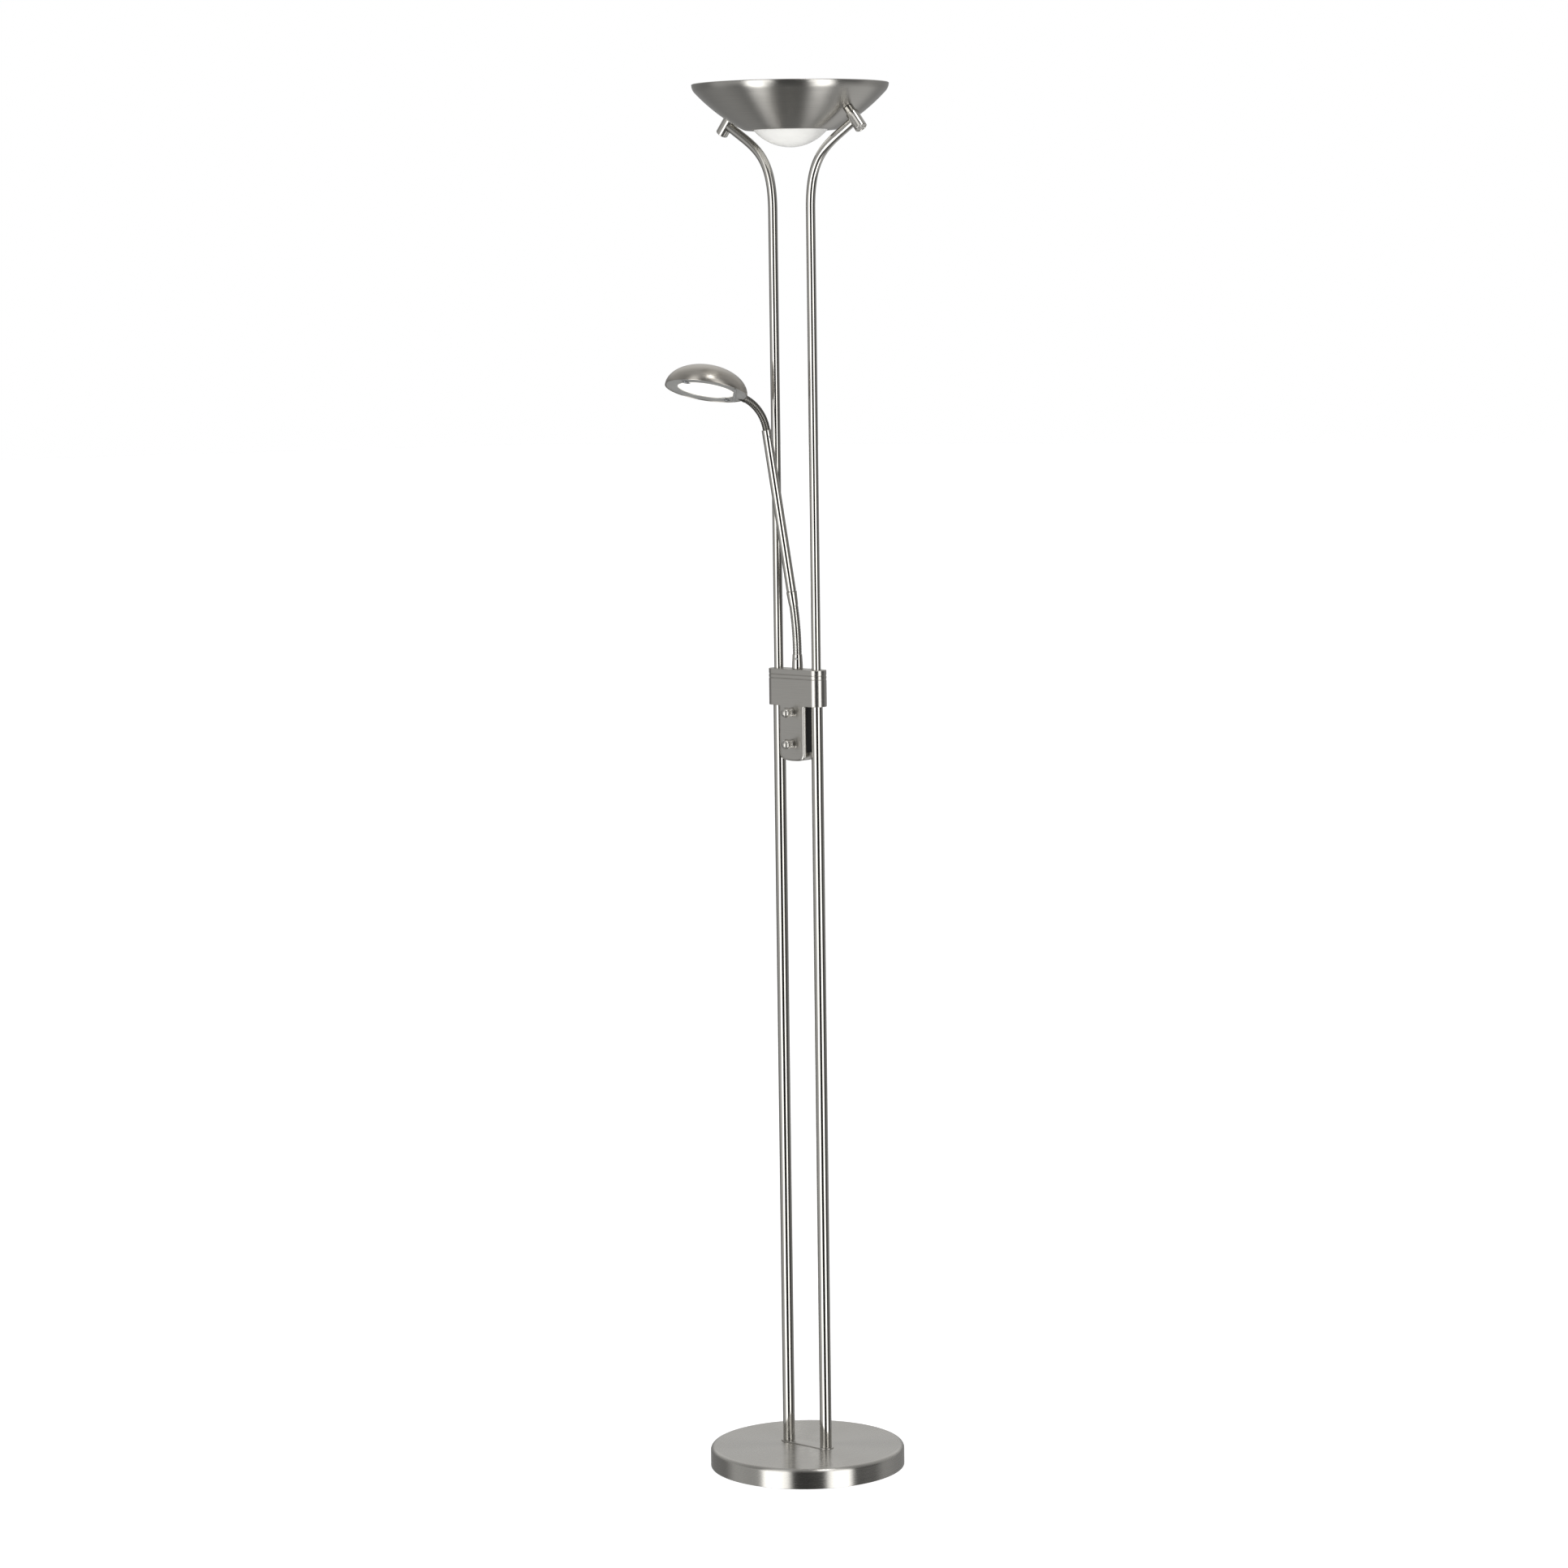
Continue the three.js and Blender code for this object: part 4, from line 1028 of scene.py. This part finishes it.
class HoseLine:
    """A round arc from the first pivot to the last, with straight ends."""

    def __init__(self, points, start_way):
        self.start = points[0]
        chord = points[-1] - self.start
        self.way = start_way.normalized()
        self.inward = (chord - self.way * chord.dot(self.way)).normalized()
        self.radius = chord.length_squared / (2 * chord.dot(self.inward))
        self.length = 2 * self.radius * math.asin(chord.length / (2 * self.radius))

    def held(self, s):
        """The place on the arc that is nearest to a distance along the line."""
        return min(max(s, 0), self.length)

    def point(self, s):
        turn = self.held(s) / self.radius
        bent = (self.start + self.way * self.radius * math.sin(turn)
                + self.inward * self.radius * (1 - math.cos(turn)))
        return bent + self.heading(s) * (s - self.held(s))

    def heading(self, s):
        turn = self.held(s) / self.radius
        return self.way * math.cos(turn) + self.inward * math.sin(turn)

    def ring(self, s, radius_at):
        aside = self.way.cross(self.inward)
        out = self.heading(s).cross(aside)
        middle = self.point(s)
        angles = [2 * math.pi * k / HOSE_SIDES for k in range(HOSE_SIDES)]
        return [middle + (out * math.cos(a) + aside * math.sin(a)) * radius_at(s, a)
                for a in angles]


def hose(name, finish, points, start_way, radius, pitch):
    """Six pieces of wound steel hose, each spanning one joint of the chain; none of them is
    tied to the chain's bodies.
    """
    line = HoseLine(points, start_way)
    link = line.length / LINKS
    bodies = chain_bodies(f"{name}_flex_1", LINKS + 2)

    def radius_at(s, angle):
        wave = 0.5 + 0.5 * math.cos(2 * math.pi * (s / pitch) - angle)
        return radius - WINDING_DEPTH * wave ** 4

    for k in range(LINKS + 1):
        start = -BURIED if k == 0 else (k - 0.5) * link
        stop = line.length + BURIED if k == LINKS else (k + 0.5) * link
        steps = round((stop - start) / pitch * STEPS_A_TURN)
        rings = [line.ring(start + (stop - start) * i / steps, radius_at)
                 for i in range(steps + 1)]
        piece = skin(f"{name}_hose_{k}", rings, False)
        nodes = [f"{name}_flex_{k}"] if k else []
        dress(piece, finish, "hose_steel", None, *nodes, angle=60, weighted=False)
        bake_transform(piece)


def arm_socket():
    """Tapered socket on the collar that the lower hose stands in."""
    low, _ = box_of("arm_socket")
    foot = COLLAR_TOP + 0.3
    top = LOW_PIVOTS[0].z - 0.9
    outline = rounded([
        (1.9, low.z, 0), (4, low.z, 0.3), (4, foot, 0), (7.05, foot, 0.3), (7.05, foot + 5, 2),
        (6.25, top, 0.35), (HOSE_SEAT, top, 0.1), (HOSE_SEAT, top - 4, 0), (1.9, top - 4, 0)])
    socket = turned("hose_socket", outline, 64)
    aside = math.radians(29)
    place = at((0, 0, middle_of("socket_screw").z), (math.sin(aside), -math.cos(aside), 0))
    cut(socket, rod("hole", 1.6, 0, 12, 24, place))
    dress(socket, "tube", "brushed_nickel", STAND, "arm_socket")
    grub_screw("socket_set_screw", place, 2.6, 6.3, STAND, "socket_screw")


def grub_screw(name, place, low, high, body, node):
    outline = rounded([(0, low, 0), (1.35, low, 0.2), (1.35, high, 0.25), (0.7, high, 0.1),
                       (0.7, high - 0.8, 0), (0, high - 0.8, 0)], 3)
    screw = turned(name, outline, 24, place)
    dress(screw, "zinc", "zinc_steel", body, node)


FERRULE_LENGTH = 19.5


def arm_ferrule():
    spigot = 5.0
    length = FERRULE_LENGTH
    outline = rounded([
        (1.9, 4.5, 0), (HOSE_SEAT, 4.5, 0), (HOSE_SEAT, 0.9, 0.1), (6.1, 0.9, 0.35),
        (6.85, length - 0.6, 0.4), (spigot, length - 0.2, 0), (spigot, length + 12, 0.3),
        (1.9, length + 12, 0)])
    piece = turned("arm_cone", outline, 64, at(LOW_PIVOTS[-1], LEAN))
    dress(piece, "tube", "brushed_nickel", "arm", "arm_ferrule")


def arm_tube():
    """The rigid tube, with a mouth that the upper hose comes out of."""
    start = FERRULE_LENGTH + 0.3
    length = (TOP_PIVOTS[0] - LOW_PIVOTS[-1]).length
    mouth = length + 0.2
    radius, bore, hose_bore, depth = 6.3, 5.3, 4.95, 12
    outline = rounded([
        (bore, start, 0.2), (radius, start, 0.3), (radius, mouth, 0.6), (hose_bore, mouth, 0.2),
        (hose_bore, mouth - depth, 0), (bore, mouth - depth - 1, 0)])
    place = at(LOW_PIVOTS[-1], LEAN)
    tube = turned("arm_rod", outline, 64, place)
    screw = middle_of("arm_tube_screw")
    foot = LOW_PIVOTS[-1] + LEAN * (screw - LOW_PIVOTS[-1]).dot(LEAN)
    screw_place = at(foot, (screw - foot).normalized())
    cut(tube, rod("hole", 1.6, 3, 10, 24, screw_place))
    dress(tube, "tube", "brushed_nickel", "arm", "arm_tube")
    grub_screw("arm_set_screw", screw_place, 3, radius + 0.4, "arm", "arm_tube_screw")


# ------------------------ reading head
HEAD_PITCH, HEAD_ROLL = 14.8, 9.8
DOME_RIM, DOME_HEIGHT = 53.0, 32.0
GLASS_LOW, GLASS_HIGH, GLASS_RADIUS = 1.45, 4.2, 40.0
NECK_START = Vector((-58, 0, 2.5))
NECK_WALL = Vector((-50, 0, 4.5))
NECK_RADIUS = 5.2
BEZEL_INNER, BEZEL_OUTER, BEZEL_TOP, BEZEL_BOTTOM = 37.0, 51.7, 1.4, 0.2
BAR_X = -36.5
BAR_TURN = -25
CLIP_TURNS = {"front": 24, "rear": 204}


def head_place():
    """The head's own frame: Z out of the dome, X away from the arm, and the origin in
    the middle of its underside."""
    turn = (Matrix.Rotation(math.radians(HEADING), 4, "Z")
            @ Matrix.Rotation(math.radians(-HEAD_PITCH), 4, "Y")
            @ Matrix.Rotation(math.radians(HEAD_ROLL), 4, "X"))
    rise = turn @ Vector((0, 0, (GLASS_LOW + GLASS_HIGH) / 2))
    return Matrix.Translation((middle_of("head_glass") - rise) * MM) @ turn


HEAD = head_place()
NECK = HEAD @ at(NECK_START, (NECK_WALL - NECK_START).normalized())


def dome_curve(inset):
    """Half an ellipse, from the rim to the top."""
    return [(x * (DOME_RIM - inset), z * (DOME_HEIGHT - inset))
            for x, z in arc(0, 0, 1, 0, 90, 40)]


def head_shade():
    outline = dome_curve(0)
    outline += dome_curve(1)[::-1] + [(DOME_RIM - 0.8, -0.3), (DOME_RIM - 0.25, -0.3)]
    shade = turned("head_dome", outline, 128, HEAD)
    cut(shade, rod("hole", NECK_RADIUS + 0.25, -5, 24, 48, NECK))
    dress(shade, "dome", "brushed_nickel", "head", "head_shade")


def head_neck():
    outline = rounded([(1.4, 0.8, 0), (4.95, 0.8, 0.3), (NECK_RADIUS, 3, 0.6),
                       (NECK_RADIUS, 16, 0.4), (1.4, 16, 0)])
    neck = turned("head_sleeve", outline, 48, NECK)
    dress(neck, "dark_hose", "brushed_nickel", "head", "head_neck")


def head_bezel():
    outline = rounded([(BEZEL_INNER, BEZEL_BOTTOM, 0.45), (BEZEL_OUTER, BEZEL_BOTTOM, 0.3),
                       (BEZEL_OUTER, BEZEL_TOP, 0.3), (BEZEL_INNER, BEZEL_TOP, 0.2)])
    bezel = turned("head_ring", outline, 128, HEAD)
    cut(bezel, rod("hole", NECK_RADIUS + 0.05, -5, 24, 48, NECK))
    dress(bezel, "ring", "grey_ring", "head", "head_bezel")


def head_glass():
    outline = rounded([(0, GLASS_LOW, 0), (GLASS_RADIUS, GLASS_LOW, 0.6),
                       (GLASS_RADIUS, GLASS_HIGH, 0.6), (0, GLASS_HIGH, 0)])
    glass = turned("head_pane", outline, 96, HEAD)
    dress(glass, "pane", "frosted_glass", "head", "head_glass")


def head_bar():
    """A thin strip across the glass, on the side of the arm."""
    half = math.sqrt(BEZEL_OUTER ** 2 - BAR_X ** 2) - 2
    place = HEAD @ Matrix.Rotation(math.radians(BAR_TURN), 4, "Z")
    bar = box_piece("head_strip", (BAR_X - 1.7, -half, -1.2), (BAR_X + 1.7, half, 0.15), place)
    softened(bar, 0.45, 3)
    dress(bar, "bright", "grey_ring", "head", "head_bar")


def head_clip(name, angle):
    """A small spring plate under a pan head screw."""
    place = HEAD @ Matrix.Rotation(math.radians(angle), 4, "Z")
    clip = box_piece(f"clip_plate_{name}", (BEZEL_INNER - 2.5, -3, -0.9),
                     (BEZEL_INNER + 8, 3, 0.15), place)
    softened(clip, 0.3, 2)
    screw_at = place @ Matrix.Translation(Vector((BEZEL_INNER + 4.5, 0, 0)) * MM)
    outline = rounded([(0, -2, 0), (2.2, -2, 0.8), (2.2, -0.7, 0.1), (0, -0.7, 0)])
    screw = turned("screw", outline, 32, screw_at)
    cut(screw, box_piece("slot", (-3, -0.3, -3), (3, 0.3, -1.5), screw_at))
    combine(clip, "UNION", screw)
    dress(clip, "zinc", "zinc_steel", "head", f"head_clip_{name}")


# ------------------------ carried-over CAD nodes
INNER_FINISHES = {
    "iron": ["base_weight"],
    "zinc": ["pole_bolt_left", "pole_bolt_right", "collar_clamp_plate", "bowl_bolt_left",
             "bowl_bolt_right", "dimmer_shaft_upper", "dimmer_shaft_lower"],
    "rubber": ["pole_lead"],
    "plastic": ["dimmer_pot_upper", "dimmer_pot_lower"],
    "mirror": ["head_reflector"],
    "ceramic": ["head_lampholder"],
    "lamp": ["head_lamp"],
}


def dress_inner_nodes():
    for finish, names in INNER_FINISHES.items():
        for name in names:
            mesh = frame["nodes"][name].data
            for index in range(len(mesh.materials)):
                mesh.materials[index] = FINISH[finish]


# ------------------------ assembly
make_camera()
make_studio()
FINISH = make_finishes()

base_pad()
base_cover()
inlet_grommet()
foot_plate()
for side_name, side_sign in SIDES.items():
    lower_pole(side_name, side_sign)
    upper_pole(side_name, side_sign)
    bowl_fitting(side_name, side_sign)
    lampholder(side_name, side_sign)
bowl_shell()
glass_dish()
lamp_bridge()
linear_lamp()
collar()
collar_screw()
dimmer_box()
for knob_name, knob_height in DIMMER_HEIGHTS.items():
    dimmer_knob(knob_name, knob_height)
arm_socket()
hose("lower", "hose", LOW_PIVOTS, UP, radius=5.75, pitch=3.6)
arm_ferrule()
arm_tube()
hose("upper", "dark_hose", TOP_PIVOTS, LEAN, radius=4.8, pitch=2.6)
head_shade()
head_neck()
head_bezel()
head_glass()
head_bar()
for clip_name, clip_angle in CLIP_TURNS.items():
    head_clip(clip_name, clip_angle)
dress_inner_nodes()
